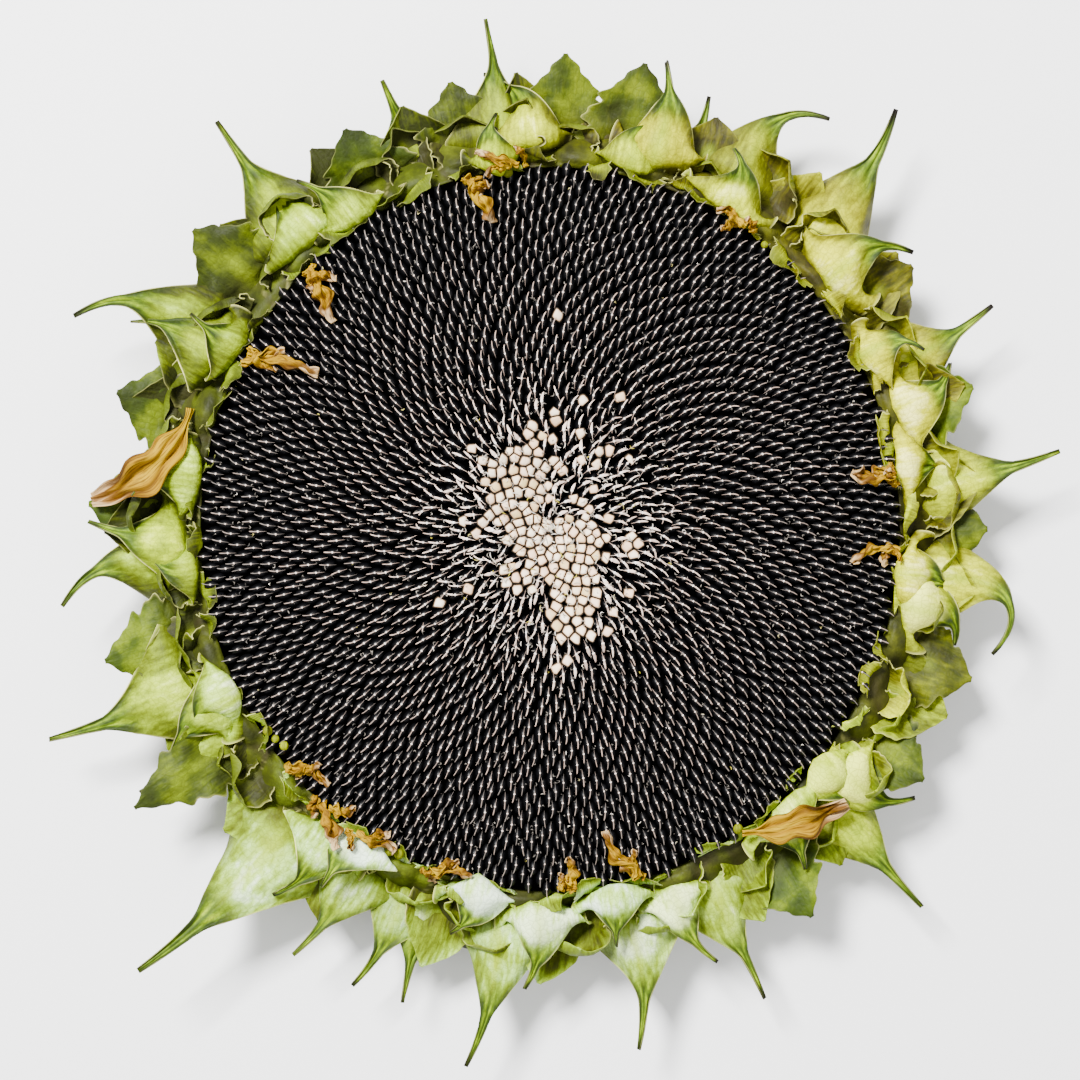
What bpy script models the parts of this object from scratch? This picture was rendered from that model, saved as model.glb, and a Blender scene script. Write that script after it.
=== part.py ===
"""A ripe sunflower seed head, cut from its stem and laid on its back with the seeds facing up.

The head is turned about a vertical axis. Lengths are in millimetres here, and each mesh is scaled
to metres as it is made. Everything is laid out on a round head, and OVAL then stretches it. A bract
is a blade: a surface of two parameters, s from its root to its tip and u from edge to edge, bent
along a centre line and given a thickness. The seeds are cells of a golden-angle spiral.
"""

import math
import random

import bmesh
import bpy
import numpy as np
from mathutils import Matrix, Vector, geometry
from mathutils.bvhtree import BVHTree

MM = 0.001
GAP = 0.3  # clearance between touching pieces
OVAL = (0.985, 1.02)  # the head is a little longer one way than the other
GOLDEN_ANGLE = math.radians(137.508)
FINE_STEPS = 201  # steps along a blade when its bend is summed up

# The receptacle: a flat seat for the seeds, and a flat ring to rest on
SEAT_HEIGHT = 26.0
RIM_RADIUS = 120.2
TURN_SIDES = 40

# The seed face
FACE_RADIUS = 118.5
FACE_SIDES = 96
SEED_LENGTH = 10.0
SEED_COUNT = 385  # about a fifth of the real number, each larger than life
GUARD_COUNT = 80
SEED_RELIEF = 2.2
SEED_JITTER = 0.8
RIDGE_SHARE = 0.27  # how far a seed's ridge runs to each side of its middle, as a share of the pitch
BORDER_MARGIN = 1.0  # least distance of a groove or ridge point from the edge of the patch
RIM_MARGIN = 3.0  # from the outermost seeds' middles to the edge of the face
FACE_DOME = 5.0
FACE_DIMPLE = 1.6  # the domed face sinks a little at its middle
DIMPLE_RADIUS = 30.0

# Empty seeds lie in these discs round the middle of the face: x, y and radius.
EMPTY_PATCH = [
    (-4.0, 37.0, 8.0),
    (-13.0, 22.0, 12.0),
    (-8.0, 8.0, 12.0),
    (4.0, -3.0, 13.0),
    (9.0, -18.0, 12.0),
    (9.0, -31.0, 10.5),
]

# The collar that the bracts grow from
COLLAR_INNER = RIM_RADIUS + GAP
COLLAR_TOP = 33.0
COLLAR_WALL = 5.4

BLADE_THICKNESS = 0.9
NEAREST_BLADE = COLLAR_INNER + 0.6  # the least distance of a blade's middle surface from the axis
BLADE_COLUMNS = np.array([[-1.0, -0.5, 0.0, 0.5, 1.0]])
FEW_COLUMNS = np.array([[-1.0, 0.0, 1.0]])

# Outer bracts: direction of the tip in degrees, how far out the tip reaches, width, sideways turn of
# the tail in degrees, and how far the tail lifts in degrees.
OUTER_BRACTS = [
    (8.7, 173.5, 42, 9, 6),
    (26.8, 167.0, 42, 10, 10),
    (50.5, 183.0, 52, 15, 14),
    (55.7, 167.0, 38, -50, 20),
    (69.8, 156.6, 36, 6, 0),
    (97.2, 172.5, 38, 2, 14),
    (110.5, 161.5, 42, 3, 18),
    (129.3, 177.0, 47, -5, 10),
    (155.9, 174.5, 42, 36, -2),
    (189.0, 165.5, 40, 33, 4),
    (202.8, 183.0, 47, -6, -4),
    (212.7, 164.0, 40, -3, -8),
    (227.0, 201.0, 57, -9, 4),
    (238.9, 167.5, 37, -12, -6),
    (246.6, 168.0, 38, -13, -6),
    (252.7, 168.0, 36, 6, 4),
    (261.1, 183.5, 40, -12, -4),
    (279.7, 178.5, 40, -15, -6),
    (294.6, 174.5, 38, 1, -2),
    (314.6, 179.0, 43, -2, 2),
    (344.2, 154.0, 36, -80, 6),
]
# Older bracts under them, broad and without a tail: direction in degrees, reach and width.
LOWER_BRACTS = [
    (0.0, 149.0, 38),
    (18.0, 151.0, 36),
    (35.0, 150.0, 38),
    (78.0, 155.0, 36),
    (88.0, 155.0, 34),
    (103.0, 150.0, 34),
    (118.0, 149.0, 36),
    (141.0, 156.0, 38),
    (163.0, 153.0, 36),
    (177.0, 156.0, 42),
    (196.0, 156.0, 34),
    (217.0, 154.0, 30),
    (305.0, 154.0, 34),
    (327.0, 151.0, 38),
    (341.0, 151.0, 36),
]
MIDDLE_COUNT = 16
INNER_COUNT = 15
OUTER_ROWS = [0.0, 0.18, 0.34, 0.48, 0.61, 0.80, 1.0]
LOWER_ROWS = [0.0, 0.35, 0.7, 1.0]
MIDDLE_ROWS = [0.0, 0.25, 0.42, 0.55, 0.7, 1.0]
INNER_ROWS = [0.0, 0.35, 0.68, 1.0]
TAIL_COLUMNS_END = 0.62  # beyond this share of a bract its inner columns become one

# Ray florets: direction in degrees, length, width, and heading of the length in degrees from
# straight outward.
RAY_FLORETS = [
    (8.4, 15, 8, 165),
    (56.0, 12, 6, 92),
    (94.9, 16, 5, 75),
    (103.0, 17, 9, 190),
    (133.7, 20, 8, 168),
    (150.6, 26, 7, 200),
    (172.0, 42, 12, 22),
    (221.0, 16, 6, 120),
    (229.0, 16, 8, 70),
    (236.4, 15, 6, 98),
    (249.9, 15, 7, 112),
    (273.3, 11, 6, 178),
    (284.9, 20, 8, 205),
    (310.1, 38, 11, 58),
    (356.3, 15, 6, 194),
]
FLORET_THICKNESS = 0.7
FLORET_CRUMPLE = 2.2  # most height that a wrinkle adds
FLORET_COLUMNS = np.array([-1.0, 0.0, 1.0])
FLORET_ROWS = 7
FLORET_ROOT = 119.5  # in the groove between the seeds and the collar
FLORET_REST = 0.8  # how far a floret lies above what is under it


def eased(x, start, end):
    """0 up to start, 1 from end on, and a smooth rise between them."""
    t = np.clip((x - start) / (end - start), 0.0, 1.0)
    return t * t * (3.0 - 2.0 * t)


def lower_width(s):
    """Share of the full width along an old lower bract: a broad blunt tongue."""
    return (0.8 + 0.2 * eased(s, 0.0, 0.5)) * np.sqrt(1.0 - 0.88 * eased(s, 0.45, 1.0))


def bract_width(s):
    """Share of the full width along a bract: ovate, then hollow-sided down to a long tail."""
    body = (0.85 + 0.15 * eased(s, 0.0, 0.3)) * (1.0 - eased(s, 0.36, TAIL_COLUMNS_END + 0.08))
    tail = 0.16 * (1.0 - 0.75 * s) * eased(s, 0.1, 0.5)
    return body + tail


def centre_line(blade, s):
    """Path, heading and yaw of a blade of length 1, as (outward, sideways, up) from its root.

    The pitch swings from its rise to its lay, and the tail adds a lift and a sideways turn. The
    path is the running sum of the heading.
    """
    fine = np.linspace(0.0, 1.0, FINE_STEPS)
    swing = (blade["lay"] - blade["rise"]) * eased(fine, 0.05, blade["bend"])
    pitch = np.radians(blade["rise"] + swing + blade["tail_lift"] * eased(fine, 0.5, 1.0))
    yaw = np.radians(blade["tail_turn"] * eased(fine, 0.42, 1.0))
    flat = np.cos(pitch)
    heading = np.stack([flat * np.cos(yaw), flat * np.sin(yaw), np.sin(pitch)])
    steps = (heading[:, 1:] + heading[:, :-1]) / (2 * (FINE_STEPS - 1))
    path = np.concatenate([np.zeros((3, 1)), np.cumsum(steps, axis=1)], axis=1)
    along = np.stack([np.interp(s, fine, line) for line in path], axis=-1)
    ahead = np.stack([np.interp(s, fine, line) for line in heading], axis=-1)
    return along, ahead, np.interp(s, fine, yaw)


def blade_surface(blade, s, u):
    """Middle surface of a blade, rows along s and columns along u, wrapped round the head's axis.

    Each row is an arc whose edges curl up or down, turned about the centre line by the blade's roll
    and twist. Waves that grow with the square of u lift the edges. No blade leans in over the seeds.
    """
    path, ahead, yaw = centre_line(blade, s)
    level = np.stack([-np.sin(yaw), np.cos(yaw), np.zeros_like(yaw)], axis=-1)
    upper = np.cross(ahead, level)
    roll = np.radians(blade["roll"] * eased(s, 0.08, 0.4) + blade["twist"] * eased(s, 0.4, 1.0))
    cos, sin = np.cos(roll)[:, None], np.sin(roll)[:, None]
    side = level * cos + upper * sin
    face = upper * cos - level * sin
    half = (blade["width"] / 2 * blade["outline"](s))[:, None]
    body_curl = blade["curl"] * eased(s, 0.04, 0.3) * (1.0 - eased(s, 0.4, 0.7))
    curl = (body_curl + blade["tail_curl"] * eased(s, 0.5, 0.8) + 0.01)[:, None]
    beat = np.sin(2 * np.pi * blade["waves"] * s[:, None] + blade["phase"] + 1.9 * np.sign(u))
    wave = blade["wave"] * beat * u**2 * half * eased(s, 0.1, 0.3)[:, None]
    across = half * np.sin(curl * u) / curl
    lift = half * (1.0 - np.cos(curl * u)) / curl + wave
    middle = blade["length"] * path[:, None]
    points = middle + across[..., None] * side[:, None] + lift[..., None] * face[:, None]
    outward = np.maximum(blade["root_radius"] + points[..., 0], blade["nearest"])
    angle = math.radians(blade["angle"]) + points[..., 1] / outward
    height = blade["root_height"] + points[..., 2]
    return np.stack([outward * np.cos(angle), outward * np.sin(angle), height], axis=-1)


def outer_whorl():
    """Large outer bracts, each laid out so that its tip has the direction and reach listed."""
    whorl = []
    for number, (tip_angle, reach, width, turn, lift) in enumerate(OUTER_BRACTS):
        draw = random.Random(f"outer {number}")
        tip_x = reach * math.cos(math.radians(tip_angle)) / OVAL[0]
        tip_y = reach * math.sin(math.radians(tip_angle)) / OVAL[1]
        blade = {
            "outline": bract_width,
            "width": width,
            "root_radius": 123.0,
            "nearest": NEAREST_BLADE + 1.6 + 0.4 * (number % 2),
            "root_height": draw.uniform(15.0, 18.0),
            "rise": draw.uniform(58.0, 72.0),
            "lay": draw.uniform(-6.0, 6.0),
            "bend": draw.uniform(0.34, 0.44),
            "tail_lift": lift,
            "tail_turn": turn * 1.5,
            "roll": draw.uniform(-14.0, 14.0),
            "twist": draw.uniform(-30.0, 30.0),
            "curl": draw.uniform(-0.75, -0.25),
            "tail_curl": 1.1,
            "wave": draw.uniform(0.05, 0.14),
            "waves": draw.uniform(1.4, 2.2),
            "phase": draw.uniform(0.0, 6.28),
        }
        tip = centre_line(blade, 1.0)[0]
        tip_radius = math.hypot(tip_x, tip_y)
        blade["length"] = (tip_radius - blade["root_radius"]) / tip[0]
        blade["angle"] = math.degrees(math.atan2(tip_y, tip_x) - blade["length"] * tip[1] / tip_radius)
        whorl.append(blade)
    return whorl


def lower_whorl():
    """Old broad bracts that fill the outline between the outer ones."""
    whorl = []
    for number, (direction, reach, width) in enumerate(LOWER_BRACTS):
        draw = random.Random(f"lower {number}")
        whorl.append({
            "outline": lower_width,
            "width": width,
            "length": 1.22 * (reach - 123.0),
            "root_radius": 123.0,
            "nearest": NEAREST_BLADE + 2.0,
            "root_height": draw.uniform(14.5, 16.0),
            "angle": direction,
            "rise": draw.uniform(50.0, 60.0),
            "lay": draw.uniform(4.0, 14.0),
            "bend": 0.7,
            "tail_lift": 0.0,
            "tail_turn": 0.0,
            "roll": draw.uniform(-8.0, 8.0),
            "twist": draw.uniform(-12.0, 12.0),
            "curl": draw.uniform(-0.4, 0.2),
            "tail_curl": draw.uniform(-0.6, 0.4),
            "wave": draw.uniform(0.04, 0.1),
            "waves": draw.uniform(1.2, 2.0),
            "phase": draw.uniform(0.0, 6.28),
        })
    return whorl


def middle_whorl():
    """Bracts that stand up from the collar and fold back outward over the outer ones."""
    whorl = []
    for number in range(MIDDLE_COUNT):
        draw = random.Random(f"middle {number}")
        whorl.append({
            "outline": bract_width,
            "width": draw.uniform(34.0, 42.0),
            "length": draw.uniform(40.0, 50.0),
            "root_radius": 122.8,
            "nearest": NEAREST_BLADE + 1.0 + 0.4 * (number % 2),
            "root_height": draw.uniform(24.0, 26.0),
            "angle": 360.0 / MIDDLE_COUNT * (number + draw.uniform(0.3, 0.7)),
            "rise": draw.uniform(82.0, 96.0),
            "lay": draw.uniform(-38.0, -14.0),
            "bend": draw.uniform(0.48, 0.6),
            "tail_lift": draw.uniform(-20.0, 20.0),
            "tail_turn": draw.choice([-1, 1]) * draw.uniform(15.0, 80.0),
            "roll": draw.uniform(-16.0, 16.0),
            "twist": draw.uniform(-50.0, 50.0),
            "curl": draw.uniform(-0.8, 0.1),
            "tail_curl": 1.1,
            "wave": draw.uniform(0.06, 0.16),
            "waves": draw.uniform(1.4, 2.2),
            "phase": draw.uniform(0.0, 6.28),
        })
    return whorl


def inner_whorl():
    """Short bracts that stand at the edge of the seeds."""
    whorl = []
    for number in range(INNER_COUNT):
        draw = random.Random(f"inner {number}")
        whorl.append({
            "outline": bract_width,
            "width": draw.uniform(34.0, 42.0),
            "length": draw.uniform(22.0, 29.0),
            "root_radius": 122.2,
            "nearest": NEAREST_BLADE + 0.4 * (number % 2),
            "root_height": 29.0,
            "angle": 360.0 / INNER_COUNT * (number + draw.uniform(0.3, 0.7)),
            "rise": draw.uniform(84.0, 92.0),
            "lay": draw.uniform(-20.0, 30.0),
            "bend": draw.uniform(0.6, 0.8),
            "tail_lift": draw.uniform(-30.0, 20.0),
            "tail_turn": draw.uniform(-50.0, 50.0),
            "roll": draw.uniform(-12.0, 12.0),
            "twist": draw.uniform(-30.0, 30.0),
            "curl": draw.uniform(-0.4, 0.2),
            "tail_curl": 1.0,
            "wave": draw.uniform(0.06, 0.14),
            "waves": draw.uniform(1.2, 2.0),
            "phase": draw.uniform(0.0, 6.28),
        })
    return whorl


def closed_triangles(skin, offset):
    """Triangles of a skin, of its copy offset points further on, and of the walls between them."""
    edges = {edge for t in skin for edge in zip(t, t[1:] + t[:1])}
    walls = []
    for a, b in sorted(edges):
        if (b, a) not in edges:
            walls += [(b, a, a + offset), (b, a + offset, b + offset)]
    back = [(c + offset, b + offset, a + offset) for a, b, c in skin]
    return skin + back + walls


def thickened(surface, thickness, merged_from):
    """Points and triangles of a closed sheet round a grid of points.

    From row merged_from on, the columns between the edges are merged into the middle one.
    """
    normal = np.cross(np.gradient(surface, axis=0), np.gradient(surface, axis=1))
    half = thickness / 2 * normal / np.linalg.norm(normal, axis=-1, keepdims=True)
    rows, columns = surface.shape[:2]
    ids = np.arange(rows * columns).reshape(rows, columns)
    ids[merged_from:, 1:-1] = ids[merged_from:, columns // 2, None]
    ids = ids.tolist()
    skin = []
    for i in range(rows - 1):
        for j in range(columns - 1):
            a, b, c, d = ids[i][j], ids[i][j + 1], ids[i + 1][j + 1], ids[i + 1][j]
            skin += [t for t in ((a, b, c), (a, c, d)) if len(set(t)) == 3]
    points = np.concatenate([(surface + half).reshape(-1, 3), (surface - half).reshape(-1, 3)])
    return points, closed_triangles(skin, rows * columns)


def material(name, colour, roughness):
    made = bpy.data.materials.new(name)
    made.use_nodes = True
    shader = made.node_tree.nodes["Principled BSDF"]
    shader.inputs["Base Color"].default_value = (*colour, 1.0)
    shader.inputs["Roughness"].default_value = roughness
    shader.inputs["Metallic"].default_value = 0.0
    made.diffuse_color = (*colour, 1.0)
    return made


def solid(name, points, faces, finish):
    """An object from points in millimetres, stretched to the oval, with unused points dropped."""
    mesh = bpy.data.meshes.new(name)
    scaled = np.asarray(points) * (OVAL[0] * MM, OVAL[1] * MM, MM)
    mesh.from_pydata(scaled.tolist(), [], faces)
    bm = bmesh.new()
    bm.from_mesh(mesh)
    bmesh.ops.delete(bm, geom=[v for v in bm.verts if not v.link_faces], context="VERTS")
    bmesh.ops.recalc_face_normals(bm, faces=bm.faces)
    bm.to_mesh(mesh)
    bm.free()
    mesh.materials.append(finish)
    made = bpy.data.objects.new(name, mesh)
    bpy.context.scene.collection.objects.link(made)
    return made


def turned(name, profile, finish):
    """A solid of revolution. The profile of (radius, height) points is closed by the axis."""
    angles = 2 * math.pi * np.arange(TURN_SIDES) / TURN_SIDES
    rings, points = [], []
    for radius, height in profile:
        sides = TURN_SIDES if radius else 1
        rings.append([len(points) + i % sides for i in range(TURN_SIDES + 1)])
        points += [(radius * math.cos(a), radius * math.sin(a), height) for a in angles[:sides]]
    faces = []
    for lower, upper in zip(rings, rings[1:] + rings[:1]):
        if lower[0] != lower[1] or upper[0] != upper[1]:
            for i in range(TURN_SIDES):
                faces.append(tuple(dict.fromkeys((lower[i], lower[i + 1], upper[i + 1], upper[i]))))
    made = solid(name, points, faces, finish)
    made.data.shade_smooth()
    made.data.set_sharp_from_angle(angle=math.radians(35))
    return made


def receptacle(finish):
    """The thick back of the head: a low ring to rest on, round the cut end of the stem."""
    seat = [(0.0, SEAT_HEIGHT), (RIM_RADIUS, SEAT_HEIGHT)]
    back = [(RIM_RADIUS, 22.0), (117.5, 16.0), (111.0, 10.0), (99.0, 5.0), (84.0, 1.6)]
    foot = [(66.0, 0.0), (48.0, 0.0), (34.0, 1.6), (22.0, 4.6), (16.0, 6.0)]
    stem = [(15.0, 2.0), (0.0, 2.0)]
    return turned("receptacle", seat + back + foot + stem, finish)


def collar(finish):
    """The green wall round the receptacle's rim that carries the bracts."""
    inner = [(COLLAR_INNER, COLLAR_TOP), (COLLAR_INNER, 22.0), (117.9, 15.6), (113.4, 11.2)]
    outer = [(114.0, 9.4), (119.0, 10.2), (124.6, 14.0), (COLLAR_INNER + COLLAR_WALL, 22.0), (125.0, 31.0)]
    return turned("bracts", inner + outer, finish)


def keep_largest_shell(mesh):
    """Drops loose crumbs, and the walls of air pockets that blades close off between them."""
    bm = bmesh.new()
    bm.from_mesh(mesh)
    unseen = set(bm.faces)
    shells = []
    while unseen:
        shell, edge = [], [unseen.pop()]
        while edge:
            face = edge.pop()
            shell.append(face)
            near = {n for e in face.edges for n in e.link_faces} & unseen
            unseen -= near
            edge += near
        shells.append(shell)
    shells.sort(key=len)
    crumbs = [face for shell in shells[:-1] for face in shell]
    bmesh.ops.delete(bm, geom=crumbs, context="FACES")
    bm.to_mesh(mesh)
    bm.free()


def bracts(finish):
    """All the bracts joined to the collar in one solid."""
    carrier = collar(finish)
    group = bpy.data.collections.new("blades")
    bpy.context.scene.collection.children.link(group)
    whorls = [
        (outer_whorl(), OUTER_ROWS, BLADE_COLUMNS),
        (middle_whorl(), MIDDLE_ROWS, BLADE_COLUMNS),
        (inner_whorl(), INNER_ROWS, FEW_COLUMNS),
        (lower_whorl(), LOWER_ROWS, FEW_COLUMNS),
    ]
    for whorl, rows, columns in whorls:
        s = np.array(rows)
        merged_from = int(np.searchsorted(s, TAIL_COLUMNS_END))
        for blade in whorl:
            surface = blade_surface(blade, s, columns)
            piece = solid("blade", *thickened(surface, BLADE_THICKNESS, merged_from), finish)
            bpy.context.scene.collection.objects.unlink(piece)
            group.objects.link(piece)
    joined = carrier.modifiers.new("join", "BOOLEAN")
    joined.operation = "UNION"
    joined.solver = "MANIFOLD"
    joined.operand_type = "COLLECTION"
    joined.collection = group
    bpy.context.view_layer.objects.active = carrier
    bpy.ops.object.modifier_apply(modifier=joined.name)
    for piece in list(group.objects):
        bpy.data.objects.remove(piece)
    bpy.data.collections.remove(group)
    keep_largest_shell(carrier.data)
    return carrier


def face_height(x, y):
    """Height of the face in the grooves between the seeds."""
    radius = np.hypot(x, y)
    dome = FACE_DOME * (1.0 - (radius / FACE_RADIUS) ** 2)
    dimple = FACE_DIMPLE * np.exp(-((radius / DIMPLE_RADIUS) ** 2))
    return SEAT_HEIGHT + GAP + SEED_LENGTH - SEED_RELIEF + dome - dimple


def seed_middles():
    """Middles of the seeds on a golden-angle spiral, followed by a ring of guards beyond the rim."""
    draw = np.random.default_rng(5)
    index = np.arange(SEED_COUNT + GUARD_COUNT) + 0.5
    radius = (FACE_RADIUS - RIM_MARGIN) * np.sqrt(index / SEED_COUNT)
    angle = index * GOLDEN_ANGLE
    middles = np.stack([radius * np.cos(angle), radius * np.sin(angle)], axis=1)
    return middles + draw.uniform(-SEED_JITTER, SEED_JITTER, middles.shape)


def triangulated(points, edges):
    """Triangles of a Delaunay triangulation of points in the plane that keeps the edges given."""
    flat = [Vector(p) for p in points]
    found = geometry.delaunay_2d_cdt(flat, edges, [], 0, 1e-5)
    origins = found[3]
    return np.array([[origins[i][0] for i in face] for face in found[2]])


def inside(points, loop):
    """Which points lie inside a closed loop: a ray to the right crosses it an odd number of times."""
    x, y = points[:, :1], points[:, 1:]
    x0, y0 = loop.T
    x1, y1 = np.roll(loop, -1, axis=0).T
    rise = np.where(y1 == y0, 1.0, y1 - y0)
    crossed = ((y0 > y) != (y1 > y)) & (x < x0 + (y - y0) / rise * (x1 - x0))
    return crossed.sum(axis=1) % 2 == 1


def moved_in(loop, distance):
    """A loop that runs anticlockwise, moved inwards by a distance along the normals of its corners."""
    along = np.roll(loop, -1, axis=0) - np.roll(loop, 1, axis=0)
    along /= np.linalg.norm(along, axis=1, keepdims=True)
    return loop + distance * np.stack([-along[:, 1], along[:, 0]], axis=1)


def patch_loop(middles, triangles, corners, chosen):
    """The loop of cell corners round the chosen seeds, anticlockwise.

    A border triangle joins chosen seeds to others. The next border triangle shares the side that
    runs from a chosen seed to another seed.
    """
    across = {}
    for number, (a, b, c) in enumerate(triangles.tolist()):
        for side in ((a, b), (b, c), (c, a)):
            across[side] = number
    following = {}
    for (a, b), number in across.items():
        if chosen[a] and not chosen[b]:
            following[across[b, a]] = number
    first = next(iter(following))
    loop = [first]
    while following[loop[-1]] != first:
        loop.append(following[loop[-1]])
    return corners[loop]


def seed_relief(middles, corners, loops, keep):
    """Points in the plane and how high each stands: two ridge points a seed, and its grooves."""
    outward = middles / np.linalg.norm(middles, axis=1, keepdims=True)
    pitch = FACE_RADIUS * math.sqrt(math.pi / SEED_COUNT)
    ridges = [middles + side * RIDGE_SHARE * pitch * outward for side in (-1, 1)]
    raised = np.concatenate([ridge[keep(ridge)] for ridge in ridges])
    grooves = corners[keep(corners)]
    border = np.concatenate(loops)
    points = np.concatenate([border, grooves, raised])
    lift = np.concatenate([np.zeros(len(border) + len(grooves)), np.full(len(raised), SEED_RELIEF)])
    return points, lift


def loop_edges(loops):
    edges, start = [], 0
    for loop in loops:
        edges += [(start + i, start + (i + 1) % len(loop)) for i in range(len(loop))]
        start += len(loop)
    return edges


def cushion(name, loops, points, lift, finish):
    """A body of seeds between its loops: the relief on top, and a flat underside on the seat.

    The points start with those of the loops, which the underside shares.
    """
    edges = loop_edges(loops)
    border = np.concatenate(loops)

    def faces(flat):
        found = triangulated(flat, edges)
        middle = flat[found].mean(axis=1)
        kept = inside(middle, loops[0])
        for hole in loops[1:]:
            kept &= ~inside(middle, hole)
        return found[kept]

    below = len(points)
    walls = [(b, a, a + below) for a, b in edges] + [(b, a + below, b + below) for a, b in edges]
    skins = faces(points).tolist() + (faces(border)[:, ::-1] + below).tolist()
    height = np.concatenate([face_height(*points.T) + lift, np.full(len(border), SEAT_HEIGHT + GAP)])
    flat = np.concatenate([points, border])
    return solid(name, np.column_stack([flat, height]), skins + walls, finish)


def seeds(black, cream):
    """The ripe seeds round the face and the empty ones in its middle, parted along their grooves."""
    middles = seed_middles()
    triangles = triangulated(middles, [])
    corners = middles[triangles].mean(axis=1)
    chosen = np.zeros(len(middles), bool)
    for x, y, radius in EMPTY_PATCH:
        chosen |= np.hypot(middles[:, 0] - x, middles[:, 1] - y) < radius
    patch = patch_loop(middles, triangles, corners, chosen)
    turn = 2 * math.pi * np.arange(FACE_SIDES) / FACE_SIDES
    rim = FACE_RADIUS * np.stack([np.cos(turn), np.sin(turn)], axis=1)
    near = FACE_RADIUS - RIM_MARGIN / 2
    around = [rim, moved_in(patch, -GAP / 2)]
    within = [moved_in(patch, GAP / 2)]
    clear_outside = moved_in(patch, -BORDER_MARGIN)
    clear_inside = moved_in(patch, BORDER_MARGIN)

    def on_ripe(places):
        return (np.hypot(*places.T) < near) & ~inside(places, clear_outside)

    def on_empty(places):
        return inside(places, clear_inside)

    ripe = cushion("seeds", around, *seed_relief(middles, corners, around, on_ripe), black)
    empty = cushion("empty_seeds", within, *seed_relief(middles, corners, within, on_empty), cream)
    return ripe, empty


def ground_height(trees, x, y, reach):
    """Height of the highest surface within reach of a place."""
    highest = 0.0
    for step_x in (-reach, 0.0, reach):
        for step_y in (-reach, 0.0, reach):
            above = Vector(((x + step_x) * OVAL[0] * MM, (y + step_y) * OVAL[1] * MM, 1.0))
            for tree in trees:
                place = tree.ray_cast(above, Vector((0.0, 0.0, -1.0)))[0]
                if place is not None:
                    highest = max(highest, place.z / MM)
    return highest


def ray_floret(name, direction, length, width, heading, trees, finish):
    """A withered ray floret: a crumpled strip that comes up out of the groove and lies on the head.

    It leaves the groove straight inward or outward and swings round to its heading. Each row rests
    on the highest surface near it and near its neighbours.
    """
    draw = random.Random(name)
    s = np.linspace(0.0, 1.0, FLORET_ROWS)
    start = 0.0 if heading < 90 else 180.0
    course = np.radians(direction + start + (heading - start) * eased(s, 0.1, 0.7))
    step = length / (FLORET_ROWS - 2) * (np.arange(FLORET_ROWS) > 1)
    x = FLORET_ROOT * math.cos(math.radians(direction)) + np.cumsum(step * np.cos(course))
    y = FLORET_ROOT * math.sin(math.radians(direction)) + np.cumsum(step * np.sin(course))
    half = width / 2 * (0.35 + 0.65 * np.sin(np.pi * np.clip(s, 0.08, 0.94) ** 0.9))
    ground = np.array([ground_height(trees, *place) for place in zip(x, y, half + 0.8)])
    padded = np.pad(ground, 1, mode="edge")
    ground = np.maximum(ground, np.maximum(padded[:-2], padded[2:]))
    height = ground + FLORET_REST + FLORET_THICKNESS / 2
    height[0] = COLLAR_TOP
    crumple = np.array([[draw.uniform(0.0, FLORET_CRUMPLE) for _ in FLORET_COLUMNS] for _ in s])
    crumple[:2] = 0.0
    across = np.stack([-np.sin(course), np.cos(course)], axis=1)
    side = (half[:, None] * FLORET_COLUMNS)[..., None] * across[:, None]
    flat = np.stack([x, y], axis=1)[:, None] + side
    surface = np.concatenate([flat, (height[:, None] + crumple)[..., None]], axis=2)
    return solid(name, *thickened(surface, FLORET_THICKNESS, FLORET_ROWS), finish)


def set_down():
    """Moves every mesh so that the origin is under the middle of the whole head."""
    meshes = [body.data for body in bpy.data.objects]
    places = np.concatenate([[v.co for v in mesh.vertices] for mesh in meshes])
    low, high = places.min(axis=0), places.max(axis=0)
    shift = Matrix.Translation((-(low[0] + high[0]) / 2, -(low[1] + high[1]) / 2, -low[2]))
    for mesh in meshes:
        mesh.transform(shift)


def main():
    for old in list(bpy.data.objects):
        bpy.data.objects.remove(old)
    pith = material("receptacle_green", (0.48, 0.50, 0.26), 0.7)
    green = material("bract_green", (0.36, 0.42, 0.12), 0.55)
    black = material("seed_black", (0.012, 0.012, 0.016), 0.4)
    cream = material("empty_seed_cream", (0.78, 0.68, 0.58), 0.7)
    orange = material("ray_floret_orange", (0.72, 0.36, 0.03), 0.6)
    back = receptacle(pith)
    green_ring = bracts(green)
    ripe, empty = seeds(black, cream)
    graph = bpy.context.evaluated_depsgraph_get()
    trees = [BVHTree.FromObject(body, graph) for body in (back, green_ring, ripe, empty)]
    for number, (direction, length, width, heading) in enumerate(RAY_FLORETS, start=1):
        ray_floret(f"ray_floret_{number:02d}", direction, length, width, heading, trees, orange)
    set_down()


main()
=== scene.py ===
import math
import random
import bmesh
import bpy
import numpy as np
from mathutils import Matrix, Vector
from mathutils.bvhtree import BVHTree


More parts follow.
